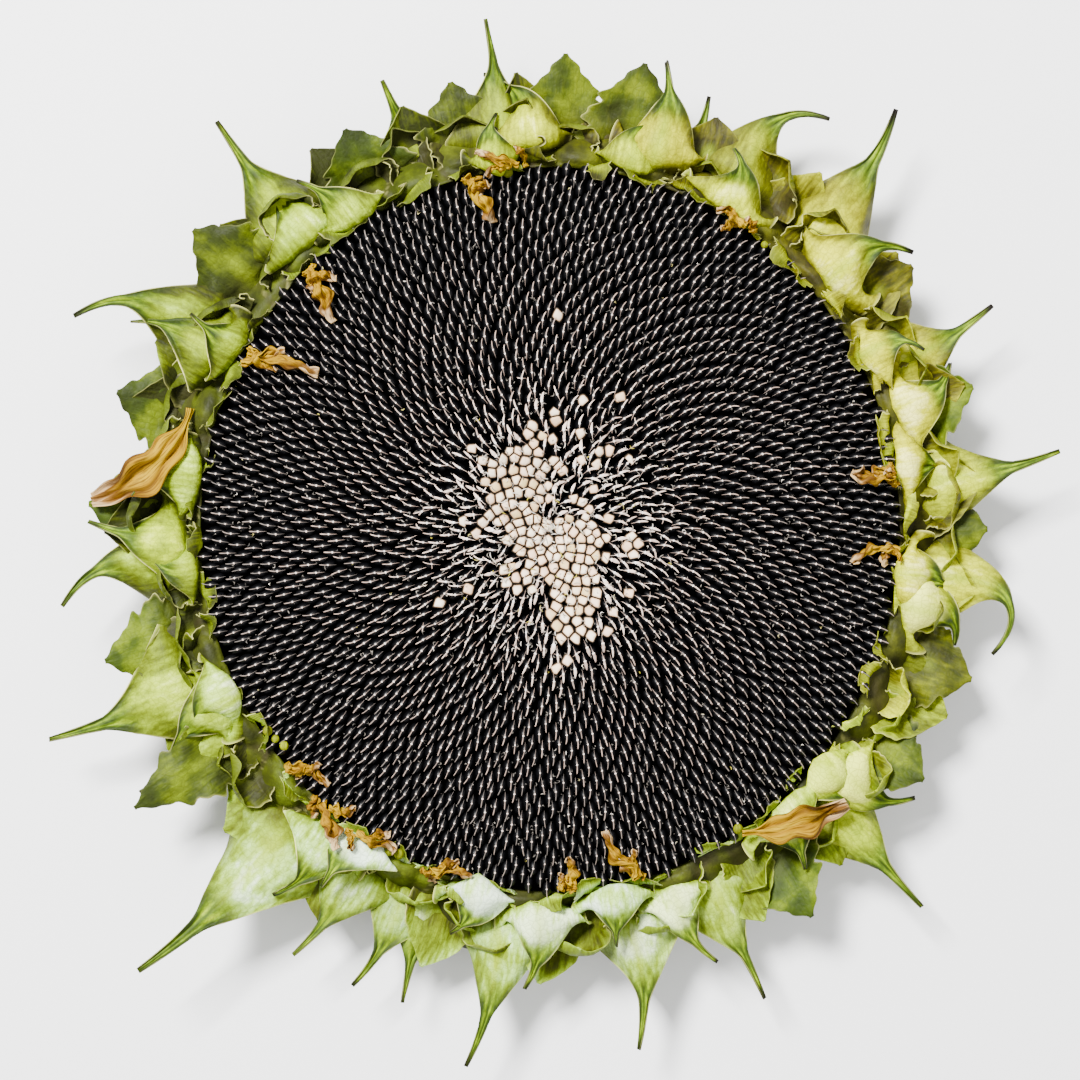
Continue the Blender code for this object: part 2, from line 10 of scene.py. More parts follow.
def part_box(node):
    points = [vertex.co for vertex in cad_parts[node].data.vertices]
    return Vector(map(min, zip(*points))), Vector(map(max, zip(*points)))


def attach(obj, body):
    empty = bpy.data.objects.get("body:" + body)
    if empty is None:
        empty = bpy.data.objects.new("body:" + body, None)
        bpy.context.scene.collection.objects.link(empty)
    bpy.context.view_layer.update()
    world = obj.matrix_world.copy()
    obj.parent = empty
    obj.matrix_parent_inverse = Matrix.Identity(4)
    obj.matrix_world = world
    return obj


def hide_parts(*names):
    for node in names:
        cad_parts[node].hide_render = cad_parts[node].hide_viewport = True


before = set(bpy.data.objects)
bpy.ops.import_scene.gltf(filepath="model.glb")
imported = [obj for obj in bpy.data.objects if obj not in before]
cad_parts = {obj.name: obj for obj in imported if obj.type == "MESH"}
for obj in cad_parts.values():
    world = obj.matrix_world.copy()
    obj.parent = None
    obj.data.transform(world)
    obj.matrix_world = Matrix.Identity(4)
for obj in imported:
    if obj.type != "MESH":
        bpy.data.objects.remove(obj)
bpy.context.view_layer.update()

# Lengths are in millimetres on a round head, and placed() turns them into metres on the oval one.
mm = 0.001
oval = (0.985, 1.02)
faceCentre = np.mean(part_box("receptacle"), axis=0)[:2]
goldenAngle = math.radians(137.508)

face = {
    "radius": 118.6,  # to the edge of the seeds
    "height": 35.2,  # of the grooves at the rim
    "dome": 5.0,
    "dimple": 1.6,
    "dimpleRadius": 30.0,
    "outerCell": 15.6,  # mm2 of face for each seed
    "innerCell": 9.6,
    "cellGrowth": 34.0,  # how far out the cells reach their full size
}

ripe = {
    "length": 4.5,
    "width": 3.9,
    "height": 1.7,
    "skirt": 2.2,
    "crestLength": 5.9,
    "crestWidth": 0.25,
    "crestHeight": 0.22,
    "knobWidth": 0.2,
    "hook": 0.6,
    "toothWidth": 0.5,
    "colour": "#050507",
}

empty = {
    "height": 1.3,
    "fill": 1.03,  # share of its cell that each one covers
    "longReach": 3.1,  # of the kite that trims each cell, along the radius and across it
    "wideReach": 2.5,
    # discs that hold the empty seeds: x, y, radius and share of empty ones
    "patch": [(-9, 17, 10.5, 1.0), (-13, 8, 8, 1.0), (-4, -3, 9, 1.0), (8, -5, 10, 1.0), (14, -7, 6, 1.0),
              (8, -19, 9, 1.0), (7, -30, 8, 1.0), (-1, 33, 7, 0.45), (12, 21, 9, 0.4), (-20, 18, 6, 0.5),
              (-9, -15, 8, 0.45), (4, -40, 6, 0.45), (15, -31, 7, 0.4), (26, -2, 8, 0.3), (-26, 8, 9, 0.2)],
    "blend": 6.0,  # how far out the ripe seeds still have a pale tooth
}

chaff = {"count": 3000, "length": 2.2, "width": 0.16}

bractLook = {
    "thickness": 0.75,
    "rows": 56,
    "columns": 17,
    "crumple": 0.8,
    "paintedLightSide": 315.0,  # painted light: direction in degrees where the bracts are painted lightest, and how much lighter and darker they are painted round the head
    "paintedLightSwing": 0.26,
}
scaleLook = {"rows": 18, "columns": 9, "thickness": 0.4}
# The collar: rings of domes, each a radius and a count, their height, the reach of one, and points round
pockets = {"rings": [(125.0, 30), (133.0, 27), (141.5, 26)], "depth": 5.0, "cellRadius": 8.5, "columns": 701}
# Buds that never opened, each a direction and radius
buds = [(214.6, 116.2), (216.4, 115.6), (218.2, 114.6), (240.6, 119.5), (242.6, 118.8), (244.3, 118.0),
        (303.0, 117.0), (97.0, 117.5), (52.0, 118.0)]

# Outer bracts: direction of the tip in degrees, reach, width, sideways turn and lift of the tail
outerBracts = [
    (8.7, 173.5, 42, 9, 6), (26.8, 167, 42, 10, 10), (50.5, 183, 52, 15, 14),
    (55.7, 167, 38, -50, 20), (69.8, 156.6, 36, 6, 0), (97.2, 172.5, 38, 2, 14),
    (110.5, 161.5, 42, 3, 18), (129.3, 177, 47, -5, 10), (155.9, 174.5, 42, 36, -2),
    (189, 165.5, 40, 33, 4), (202.8, 183, 47, -6, -4), (212.7, 164, 40, -3, -8),
    (227, 201, 57, -9, 4), (238.9, 167.5, 37, -12, -6), (246.6, 168, 38, -13, -6),
    (252.7, 168, 36, 6, 4), (261.1, 183.5, 40, -12, -4), (279.7, 178.5, 40, -15, -6),
    (294.6, 174.5, 38, 1, -2), (314.6, 179, 43, -2, 2), (344.2, 154, 36, -80, 6),
]
# Older bracts under them: direction, reach and width
lowerBracts = [
    (0, 149, 38), (18, 151, 36), (35, 150, 38), (78, 155, 36), (88, 155, 34),
    (103, 150, 34), (118, 149, 36), (141, 156, 38), (163, 153, 36), (177, 156, 42),
    (196, 156, 34), (213, 166, 26), (305, 154, 34), (327, 151, 38), (341, 151, 36),
]
rowCounts = {"middle": 13, "inner": 16, "cup": 40, "lobe": 25, "scale": 54}

# The blades of each row. A pair is a range that every blade draws from, in the order of the table, and a
# list a choice. Rise and lay are the slope at the root and further out, in degrees; nearest is the smallest
# radius that a blade comes to; a drawn angle is a share of the step from one blade to the next.
outerRow = {
    "leafy": False, "bright": 1, "rootRadius": 123, "nearest": 122.7, "shoulder": 0.3,
    "rootHeight": (15, 18), "rise": (58, 72), "lay": (-6, 6), "bend": (0.34, 0.44),
    "roll": (-14, 14), "twist": (-30, 30), "curl": (-1.3, -0.6), "tailCurl": 1.2,
    "wave": (0.05, 0.14), "waves": (1.4, 2.2), "phase": (0, 6.28), "ridge": (0, 0.25),
}
lowerRow = {
    "leafy": True, "bright": 0.3, "rootRadius": 123, "nearest": 123.1, "rootHeight": (14.5, 16),
    "rise": (50, 60), "lay": (4, 14), "bend": 0.7, "tailLift": 0, "tailTurn": 0,
    "roll": (-8, 8), "twist": (-12, 12), "curl": (-0.5, 0.4), "tailCurl": (-0.6, 0.4),
    "wave": (0.08, 0.2), "waves": (1.6, 3), "phase": (0, 6.28), "ridge": 0, "teeth": 0.09,
}
middleRow = {
    "leafy": False, "bright": 1, "width": (32, 42), "length": (40, 50), "rootRadius": 122.8,
    "nearest": 121, "rootHeight": (24, 26), "shoulder": 0.34, "angle": (0.3, 0.7),
    "rise": (82, 96), "lay": (-38, -14), "bend": (0.48, 0.6), "tailLift": (-20, 20),
    "side": [-1, 1], "tailTurn": (15, 80), "roll": (-16, 16), "twist": (-50, 50),
    "curl": (-1.5, -0.8), "tailCurl": 1.2, "wave": (0.06, 0.16), "waves": (1.4, 2.2),
    "phase": (0, 6.28), "ridge": (0, 0.3),
}
innerRow = {
    "leafy": False, "bright": 1, "width": (26, 38), "length": (26, 36), "rootRadius": 120,
    "nearest": 115.4, "rootHeight": 29, "shoulder": 0.38, "angle": (0.2, 0.8), "rise": (96, 112),
    "lay": (-35, 5), "bend": (0.5, 0.65), "tailLift": (-30, 20), "tailTurn": (-60, 60),
    "roll": (-20, 20), "twist": (-30, 30), "curl": (-1.4, -0.7), "tailCurl": 1,
    "wave": (0.06, 0.16), "waves": (1.2, 2), "phase": (0, 6.28), "ridge": (0, 0.3),
}
cupRow = {
    "leafy": True, "bright": 0, "width": (20, 32), "length": (16, 26),
    "rootRadius": (119.5, 129), "nearest": 118.5, "rootHeight": (24, 29), "angle": (0.1, 0.9),
    "rise": (-25, 10), "lay": (60, 115), "bend": 1, "tailLift": (0, 30),
    "tailTurn": (-20, 20), "roll": (-25, 25), "twist": (-15, 15), "curl": (1, 1.6),
    "tailCurl": (0.8, 1.3), "wave": (0.03, 0.1), "waves": (1, 2), "phase": (0, 6.28),
    "ridge": 0, "teeth": 0.02,
}
lobeRow = {
    "leafy": True, "bright": 0, "width": (26, 36), "length": (26, 31), "rootRadius": 122.8,
    "nearest": 122.5, "rootHeight": (18, 22), "angle": (0.2, 0.8), "rise": (15, 35),
    "lay": (-5, 20), "bend": 0.8, "tailLift": 0, "tailTurn": (-20, 20), "roll": (-15, 15),
    "twist": (-15, 15), "curl": (-0.7, 0.8), "tailCurl": (-0.4, 0.8), "wave": (0.03, 0.12),
    "waves": (1, 2), "phase": (0, 6.28), "ridge": 0, "teeth": 0.02,
}
scaleRow = {
    "leafy": True, "bright": 0.9, "width": (9, 18), "length": (8, 14),
    "rootRadius": (119.2, 121.5), "nearest": 115, "rootHeight": (28, 31), "angle": (0.1, 0.9),
    "rise": (96, 120), "lay": (10, 150), "bend": 0.9, "tailLift": (-30, 30),
    "tailTurn": (-40, 40), "roll": (-20, 20), "twist": (-20, 20), "curl": (-1.2, 0.3),
    "tailCurl": (-0.8, 0.6), "wave": (0.1, 0.25), "waves": (1, 2), "phase": (0, 6.28),
    "ridge": 0, "teeth": 0.12,
}

# Ray florets: direction and radius of the root, length, width, heading from straight outward, turn to the tip
rayFlorets = [
    (8.4, 118, 15, 8, 165, 0), (56, 119, 12, 6, 92, 0), (94.9, 119, 16, 5, 75, 0),
    (103, 118, 17, 9, 190, 0), (133.7, 118, 20, 8, 168, 0), (150.6, 118, 26, 7, 200, 20),
    (161.5, 129, 49, 16, 65, -80), (221, 118, 16, 6, 120, 0), (229, 118, 16, 8, 70, 0),
    (236.4, 119, 15, 6, 98, 0), (249.9, 119, 15, 7, 112, 0), (273.3, 118, 11, 6, 178, 0),
    (284.9, 118, 20, 8, 205, 0), (302.8, 118, 38, 13, 73, 35), (356.3, 118.5, 18, 5, 194, 90),
]
longFloret = 30  # one longer than this is broad and pleated, and has no curled scraps beside it

# Lamps: place and size in metres, and power in watts
lamps = {"key": ((-0.55, 0.7, 1.45), 0.4, 112.0), "fill": ((0.9, -0.6, 1.5), 1.2, 12.0)}
skyStrength = 0.8
view = {
    "lens": 85.0,
    "sensor": 36.0,
    "faceTop": 0.038,  # metres, as are the camera's height above it and its shift from the face's centre
    "height": 0.85,
    "shift": (-0.00333, -0.00367),
}


def eased(x, start, end):  # 0 before start, 1 after end, smooth between
    t = np.clip((x - start) / (end - start), 0.0, 1.0)
    return t * t * (3.0 - 2.0 * t)


def bell(x, width):  # 1 at 0, falling evenly to both sides
    return np.exp(-((x / width) ** 2))


def fullTurn(count):  # directions once round, with the first one again at the end
    return np.linspace(0.0, 2 * math.pi, count)


def toLinear(hexColour):
    values = [int(hexColour[i:i + 2], 16) / 255 for i in (1, 3, 5)]
    return tuple(v / 12.92 if v <= 0.04045 else ((v + 0.055) / 1.055) ** 2.4 for v in values) + (1.0,)


def placed(points):  # millimetres on the round head to metres in the frame
    out = np.asarray(points, float).reshape(-1, 3) * mm
    out[:, 0] = out[:, 0] * oval[0] + faceCentre[0]
    out[:, 1] = out[:, 1] * oval[1] + faceCentre[1]
    return out


def inScene(name, data):
    made = bpy.data.objects.new(name, data)
    bpy.context.scene.collection.objects.link(made)
    return made


# A smooth mesh from millimetre points and quads, with one number a point in each layer
def addMesh(name, points, quads, material, layers=None, weld=False):
    where = placed(points)
    mesh = bpy.data.meshes.new(name)
    mesh.vertices.add(len(where))
    mesh.vertices.foreach_set("co", where.ravel())
    mesh.loops.add(quads.size)
    mesh.loops.foreach_set("vertex_index", quads.ravel().astype(np.int32))
    mesh.polygons.add(len(quads))
    mesh.polygons.foreach_set("loop_start", np.arange(0, quads.size, 4, dtype=np.int32))
    for key, values in (layers or {}).items():
        held = mesh.attributes.new(key, "FLOAT", "POINT")
        held.data.foreach_set("value", np.ravel(values).astype(np.float32))
    mesh.update(calc_edges=True)
    if weld:  # closes the seam and the poles
        shape = bmesh.new()
        shape.from_mesh(mesh)
        bmesh.ops.remove_doubles(shape, verts=shape.verts, dist=1e-6)
        shape.to_mesh(mesh)
        shape.free()
    mesh.validate()
    mesh.shade_smooth()
    mesh.materials.append(material)
    made = inScene(name, mesh)
    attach(made, "root")
    return made


def gridQuads(rows, columns):
    ids = np.arange(rows * columns).reshape(rows, columns)
    corners = [ids[:-1, :-1], ids[:-1, 1:], ids[1:, 1:], ids[1:, :-1]]
    return np.stack(corners, axis=-1).reshape(-1, 4)


def manyGrids(rows, columns, count):  # the faces of one grid for each of many like pieces
    first = np.arange(count) * rows * columns
    return (gridQuads(rows, columns)[None] + first[:, None, None]).reshape(-1, 4)


def joined(sheets):  # points, quads and layers of several sheets as one
    starts = np.cumsum([0] + [len(points) for points, quads, layers in sheets])
    points = np.concatenate([sheet[0] for sheet in sheets])
    quads = np.concatenate([sheet[1] + start for sheet, start in zip(sheets, starts)])
    layers = {key: np.concatenate([sheet[2][key] for sheet in sheets]) for key in sheets[0][2]}
    return points, quads, layers


# Small builders for material nodes

def node(tree, kind, settings=None, links=None):
    made = tree.nodes.new(kind)
    for key, value in (settings or {}).items():
        if isinstance(key, int) or key in made.inputs:
            made.inputs[key].default_value = value
        else:
            setattr(made, key, value)
    for key, source in (links or {}).items():
        tree.links.new(source, made.inputs[key])
    return made


def ramp(tree, source, stops):
    made = node(tree, "ShaderNodeValToRGB", links={"Fac": source})
    elements = made.color_ramp.elements
    while len(elements) < len(stops):
        elements.new(0.5)
    for element, (place, colour) in zip(elements, stops):
        element.position = place
        element.color = toLinear(colour)
    return made.outputs["Color"]


def ranged(tree, source, low, high, toLow=0.0, toHigh=1.0):
    settings = {"From Min": low, "From Max": high, "To Min": toLow, "To Max": toHigh}
    return node(tree, "ShaderNodeMapRange", settings, {"Value": source}).outputs["Result"]


def plus(tree, first, second):
    return node(tree, "ShaderNodeMath", {"operation": "ADD"}, {0: first, 1: second}).outputs[0]


def times(tree, first, second):
    made = node(tree, "ShaderNodeMath", {"operation": "MULTIPLY"}, {0: first})
    if isinstance(second, float):
        made.inputs[1].default_value = second
    else:
        tree.links.new(second, made.inputs[1])
    return made.outputs[0]


def mixed(tree, factor, first, second):
    made = node(tree, "ShaderNodeMix", {"data_type": "RGBA"}, {0: factor})
    for socket, value in ((6, first), (7, second)):
        if isinstance(value, str):
            made.inputs[socket].default_value = toLinear(value)
        else:
            tree.links.new(value, made.inputs[socket])
    return made.outputs[2]


def newMaterial(name, roughness, shine=0.5):
    material = bpy.data.materials.new(name)
    material.use_nodes = True
    tree = material.node_tree
    shader = tree.nodes["Principled BSDF"]
    shader.inputs["Roughness"].default_value = roughness
    shader.inputs["Specular IOR Level"].default_value = shine
    return material, tree, shader


def layer(tree, name):
    return node(tree, "ShaderNodeAttribute", {"attribute_name": name}).outputs["Fac"]


def objectPlace(tree):
    return node(tree, "ShaderNodeTexCoord").outputs["Object"]


def stripPlace(tree):  # place across and along a blade or petal
    links = {"X": layer(tree, "strip"), "Y": layer(tree, "along")}
    return node(tree, "ShaderNodeCombineXYZ", links=links).outputs[0]


def noise(tree, scale, detail=3.0, vector=None):
    links = {"Vector": vector or objectPlace(tree)}
    return node(tree, "ShaderNodeTexNoise", {"Scale": scale, "Detail": detail}, links).outputs["Fac"]


def colourAndBump(tree, shader, colour, height=None, strength=0.3, distance=0.0003):
    tree.links.new(colour, shader.inputs["Base Color"])
    if height:
        made = node(tree, "ShaderNodeBump", {"Strength": strength, "Distance": distance}, {"Height": height})
        tree.links.new(made.outputs["Normal"], shader.inputs["Normal"])


def huskMaterial():  # hard dark husk of a ripe seed, with a painted sheen: random patches a little lighter and bluer
    material, tree, shader = newMaterial("ripeHusk", 0.4, 0.2)
    stops = [(0.35, "#020203"), (0.7, ripe["colour"]), (0.95, "#15151a")]
    colourAndBump(tree, shader, ramp(tree, noise(tree, 900.0), stops))
    return material


def crestMaterial():  # pale dry edge on top of each ripe seed, with a white scar at its middle
    material, tree, shader = newMaterial("seedCrest", 0.6)
    stops = [(0.0, "#161413"), (0.3, "#645c56"), (0.6, "#aa9082"), (0.85, "#eed4c2"), (1.0, "#fffdf8")]
    colourAndBump(tree, shader, ramp(tree, layer(tree, "glow"), stops))
    return material


def emptyHuskMaterial():  # papery husk of an empty seed, tan and then dark brown towards its edge, which is painted shade where it falls into the gaps
    material, tree, shader = newMaterial("emptyHusk", 0.65)
    stops = [(0.0, "#ffefd2"), (0.4, "#ffe4c2"), (0.75, "#f2cbaa"), (1.0, "#d6bc74")]
    body = ramp(tree, layer(tree, "tint"), stops)
    edge = layer(tree, "edge")
    # Painted shade: the edge layer turns the husk tan and then dark brown towards the gaps between the seeds
    tan = mixed(tree, ranged(tree, edge, 0.0, 0.5), body, "#d0a57c")
    colour = mixed(tree, ranged(tree, edge, 0.35, 0.75), tan, "#241a0a")
    colourAndBump(tree, shader, colour, noise(tree, 1500.0), 0.3, 0.0002)
    return material


def bedMaterial():  # dark gaps between the seeds
    material, _, shader = newMaterial("seedBed", 0.9, 0.0)
    shader.inputs["Base Color"].default_value = toLinear("#010101")
    return material


def chaffMaterial():  # dry scraps of the scales between the seeds
    material, tree, shader = newMaterial("chaff", 0.7)
    stops = [(0.0, "#2a2826"), (0.45, "#6e675e"), (0.75, "#d8cfc2"), (1.0, "#a39626")]
    colourAndBump(tree, shader, ramp(tree, layer(tree, "tint"), stops))
    return material


# Fleshy leaf: from brownish olive in the depths over lime to whitish on the fold, green tail, black tip; the
# depths also get painted shade, and the pale layer carries painted light.
def bractMaterial():
    material, tree, shader = newMaterial("bractLeaf", 0.55, 0.1)
    hue = layer(tree, "hue")
    strip = stripPlace(tree)
    streaks = noise(tree, 6.0, 5.0, strip)
    blotches = noise(tree, 90.0, 5.0)
    streakSwing = ranged(tree, streaks, 0.3, 0.7, -0.16, 0.16)
    blotchSwing = ranged(tree, blotches, 0.3, 0.7, -0.2, 0.2)
    pale = plus(tree, layer(tree, "pale"), plus(tree, streakSwing, blotchSwing))
    cream = [(0.0, "#302a10"), (0.2, "#524c08"), (0.4, "#7c7804"),
             (0.6, "#aaa800"), (0.8, "#d0ce00"), (1.0, "#fff888")]
    lime = [(0.0, "#23270c"), (0.2, "#3d4606"), (0.4, "#5d6b02"),
            (0.6, "#859a00"), (0.8, "#b0c600"), (1.0, "#e4f454")]
    mint = [(0.0, "#2b2d10"), (0.2, "#464b08"), (0.4, "#66780a"),
            (0.58, "#88a522"), (0.78, "#b4da74"), (1.0, "#e8fde0")]
    flesh = mixed(tree, ranged(tree, hue, 0.0, 0.5), ramp(tree, pale, cream), ramp(tree, pale, lime))
    flesh = mixed(tree, ranged(tree, hue, 0.5, 1.0), flesh, ramp(tree, pale, mint))
    flesh = mixed(tree, times(tree, layer(tree, "rib"), 0.75), flesh, "#9bb00a")
    tail = ramp(tree, plus(tree, layer(tree, "lit"), ranged(tree, streaks, 0.3, 0.7, -0.3, 0.3)),
                [(0.0, "#25330c"), (0.35, "#48600a"), (0.65, "#7a9204"), (1.0, "#a9bd20")])
    flesh = mixed(tree, layer(tree, "green"), flesh, tail)
    leafy = ramp(tree, blotches, [(0.35, "#1d2a08"), (0.5, "#3a4c08"), (0.62, "#667804")])
    flesh = mixed(tree, layer(tree, "leafy"), flesh, leafy)
    veins = node(tree, "ShaderNodeTexVoronoi", {"feature": "DISTANCE_TO_EDGE", "Scale": 520.0},
                 {"Vector": objectPlace(tree)}).outputs["Distance"]
    netted = mixed(tree, ranged(tree, veins, 0.0, 0.1, 0.3, 0.0), flesh, "#2f380a")
    under = mixed(tree, ranged(tree, blotches, 0.35, 0.65), netted, "#5a690e")
    netted = mixed(tree, times(tree, layer(tree, "side"), 0.8), netted, under)
    rimmed = mixed(tree, times(tree, layer(tree, "rim"), 0.8), netted, "#f3f092")
    # Painted shade: the shade layer darkens the flesh towards dark olive-brown, more in some blotches than in
    # others
    depth = times(tree, layer(tree, "shade"), ranged(tree, blotches, 0.3, 0.6, 0.4, 1.0))
    withPaintedShade = mixed(tree, depth, rimmed, "#2e2a16")
    wrinkles = plus(tree, veins, times(tree, streaks, 2.0))
    colourAndBump(tree, shader, mixed(tree, layer(tree, "burn"), withPaintedShade, "#120c07"), wrinkles, 0.5, 0.0004)
    return material


def petalMaterial():  # dried ray floret: golden, darker brown in the hollows of its pleats, which is painted shade, and beige where it is bleached
    material, tree, shader = newMaterial("driedPetal", 0.7, 0.1)
    strip = stripPlace(tree)
    stops = [(0.0, "#ae8e00"), (0.35, "#946e00"), (0.6, "#543600"), (0.8, "#7a5626"), (1.0, "#c0a070")]
    colour = ramp(tree, layer(tree, "tint"), stops)
    streaks = ranged(tree, noise(tree, 7.0, 4.0, strip), 0.48, 0.62, 0.0, 0.75)
    colourAndBump(tree, shader, mixed(tree, streaks, colour, "#45280a"))
    return material


def skinMaterial():  # smooth green-yellow skin of the receptacle's back
    material, tree, shader = newMaterial("receptacleSkin", 0.6)
    colour = ramp(tree, noise(tree, 45.0, 6.0), [(0.3, "#7d8220"), (0.5, "#a0a032"), (0.75, "#c4bd5c")])
    colourAndBump(tree, shader, colour, noise(tree, 220.0, 5.0), 0.4, 0.0006)
    return material


# The seeds

def faceHeight(x, y):
    radius = np.hypot(x, y)
    dome = face["dome"] * (1.0 - (radius / face["radius"]) ** 2)
    return face["height"] + dome - face["dimple"] * bell(radius, face["dimpleRadius"])


# Golden-angle spiral. The count inside a radius is the area over a cell that grows outward.
def seedPlaces():
    radius = np.linspace(0.0, face["radius"] - 0.6, 2000)
    growth = 1.0 - bell(radius, face["cellGrowth"])
    cell = face["innerCell"] + (face["outerCell"] - face["innerCell"]) * growth
    count = np.concatenate([[0.0], np.cumsum(2 * math.pi * radius[1:] / cell[1:] * np.diff(radius))])
    index = np.arange(int(count[-1])) + 0.5
    r = np.interp(index, count, radius)
    pitch = np.sqrt(np.interp(r, radius, cell))
    return r * np.cos(index * goldenAngle), r * np.sin(index * goldenAngle), pitch


def emptyShare(x, y):  # how likely a seed at this place is an empty pale one
    share = np.zeros_like(x)
    for px, py, radius, most in empty["patch"]:
        share = np.maximum(share, most * (1.0 - eased(np.hypot(x - px, y - py), radius - 1.0, radius + 1.5)))
    near = 0.03 * (1.0 - eased(np.hypot(x, y), 25.0, 60.0))
    return np.maximum(share, near + 0.0008 * (np.hypot(x, y) < 100.0))


def patchNear(x, y):  # 1 in the patch, falling to 0 outside it
    near = np.zeros_like(x)
    for px, py, radius, most in empty["patch"]:
        away = np.maximum(np.hypot(x - px, y - py) - radius, 0.0)
        near = np.maximum(near, most**0.5 * bell(away, empty["blend"]))
    return near


# Local shapes (seed, row, column, 3) turned about up by an angle each and set at their places
def turnedInto(local, turn, x, y, z):
    cos, sin = np.cos(turn)[:, None, None], np.sin(turn)[:, None, None]
    out = np.empty_like(local)
    out[..., 0] = x[:, None, None] + local[..., 0] * cos - local[..., 1] * sin
    out[..., 1] = y[:, None, None] + local[..., 0] * sin + local[..., 1] * cos
    out[..., 2] = z[:, None, None] + local[..., 2]
    return out


# Wedges: each row is a roof over the seed's width, and the roof falls to both ends.
def ripeSeeds(x, y, pitch, draw, husk):
    count = len(x)
    a = np.array([-1.0, -0.6, 0.0, 0.6, 1.0])[None, :, None]
    b = np.array([-1.0, -0.5, 0.0, 0.5, 1.0])[None, None, :]
    size = (pitch / math.sqrt(face["outerCell"]))[:, None, None]
    tilt = draw.normal(0.0, 0.1, count)[:, None, None]
    local = np.zeros((count, 5, 5, 3))
    local[..., 0] = a * ripe["length"] / 2 * size
    local[..., 1] = b * ripe["width"] / 2 * size * (1.0 - 0.3 * a**2)
    roof = ripe["height"] * (1.0 - np.abs(b) ** 1.4) * (1.0 - 0.35 * a**2)
    local[..., 2] = roof - ripe["skirt"] * (np.abs(b) == 1.0) - 0.8 * (np.abs(a) == 1.0) + tilt * b
    turn = np.arctan2(y, x) + draw.normal(0.0, 0.06, count)
    points = turnedInto(local, turn, x, y, faceHeight(x, y))
    return addMesh("ripeSeeds", points, manyGrids(5, 5, count), husk)


# Thin roofs along the seeds' tops: hooked and wide at the outer end, a knob at the middle, thin inward.
def crests(name, x, y, pitch, draw, material, spread, gain, lengthen, tooth):
    count = len(x)
    steps = 9
    a = np.array([-1.0, -0.8, -0.45, -0.14, 0.0, 0.14, 0.45, 0.8, 1.0])[None, :, None]
    b = np.array([-1.0, 0.0, 1.0])[None, None, :]
    angle = np.arctan2(y, x)
    size = (pitch / math.sqrt(face["outerCell"]) * lengthen)[:, None, None]
    knob = bell(a, 0.1)
    wide = 0.75 + 0.55 * eased(a, 0.1, 0.6) - 0.3 * eased(-a, 0.1, 0.6) - 0.35 * eased(np.abs(a), 0.8, 1.0)
    half = ripe["crestWidth"] * wide / 2 + ripe["knobWidth"] * knob
    half = half * draw.uniform(0.8, 1.25, count)[:, None, None]
    pointed = eased(a, -0.3, 0.35) * (1.0 - 0.85 * eased(a, 0.45, 1.0))
    half = half + ripe["toothWidth"] * tooth[:, None, None] * pointed
    hookSize = ripe["hook"] * (0.9 + 0.6 * np.cos(angle - 1.0)) + draw.normal(0.0, 0.25, count)
    hook = -hookSize[:, None, None] * np.clip(a, 0.0, 1.0) ** 2
    bend = draw.normal(0.0, 0.1, count)[:, None, None] * a**2
    local = np.zeros((count, steps, 3, 3))
    local[..., 0] = a * ripe["crestLength"] / 2 * size
    local[..., 1] = half * b + (hook + bend) * size
    fall = ripe["height"] * (1.0 - 0.35 * a**2)
    local[..., 2] = fall + (ripe["crestHeight"] + 0.1 * knob) * (1.0 - np.abs(b)) + 0.05
    turn = angle + draw.normal(0.0, 1.0, count) * spread
    points = turnedInto(local, turn, x, y, faceHeight(x, y))
    dim = draw.uniform(0.4, 0.8, count)[:, None, None] * gain[:, None, None]
    along = 0.8 + 0.25 * eased(a, 0.1, 0.5) - 0.2 * eased(np.abs(a), 0.85, 1.0)
    glow = np.broadcast_to(np.clip(np.minimum(dim * along, 0.82) + 0.75 * knob, 0.0, 1.0), (count, steps, 3))
    return addMesh(name, points, manyGrids(steps, 3, count), material, {"glow": glow})


# Distance from each chosen seed to the edge of its husk: half way to the nearest neighbour, or less where
# a kite that points along the radius is smaller
def cellReach(x, y, chosen, directions, draw):
    dx, dy = x[None] - x[chosen][:, None], y[None] - y[chosen][:, None]
    nearest = np.argsort(dx**2 + dy**2, axis=1)[:, 1:12]
    dx, dy = np.take_along_axis(dx, nearest, 1)[:, None], np.take_along_axis(dy, nearest, 1)[:, None]
    toward = dx * np.cos(directions)[None, :, None] + dy * np.sin(directions)[None, :, None]
    reach = np.where(toward > 0.05, (dx**2 + dy**2) / 2 / np.maximum(toward, 0.05), 9.0)
    turn = directions - (np.arctan2(y, x)[chosen] + draw.normal(0.0, 0.25, len(chosen)))[:, None]
    wide = empty["wideReach"] * draw.uniform(0.9, 1.15, len(chosen))[:, None]
    kite = np.maximum(np.cos(turn), -0.6 * np.cos(turn)) / empty["longReach"] + np.abs(np.sin(turn)) / wide
    return np.minimum(reach.min(axis=2) * empty["fill"], 1.0 / kite)


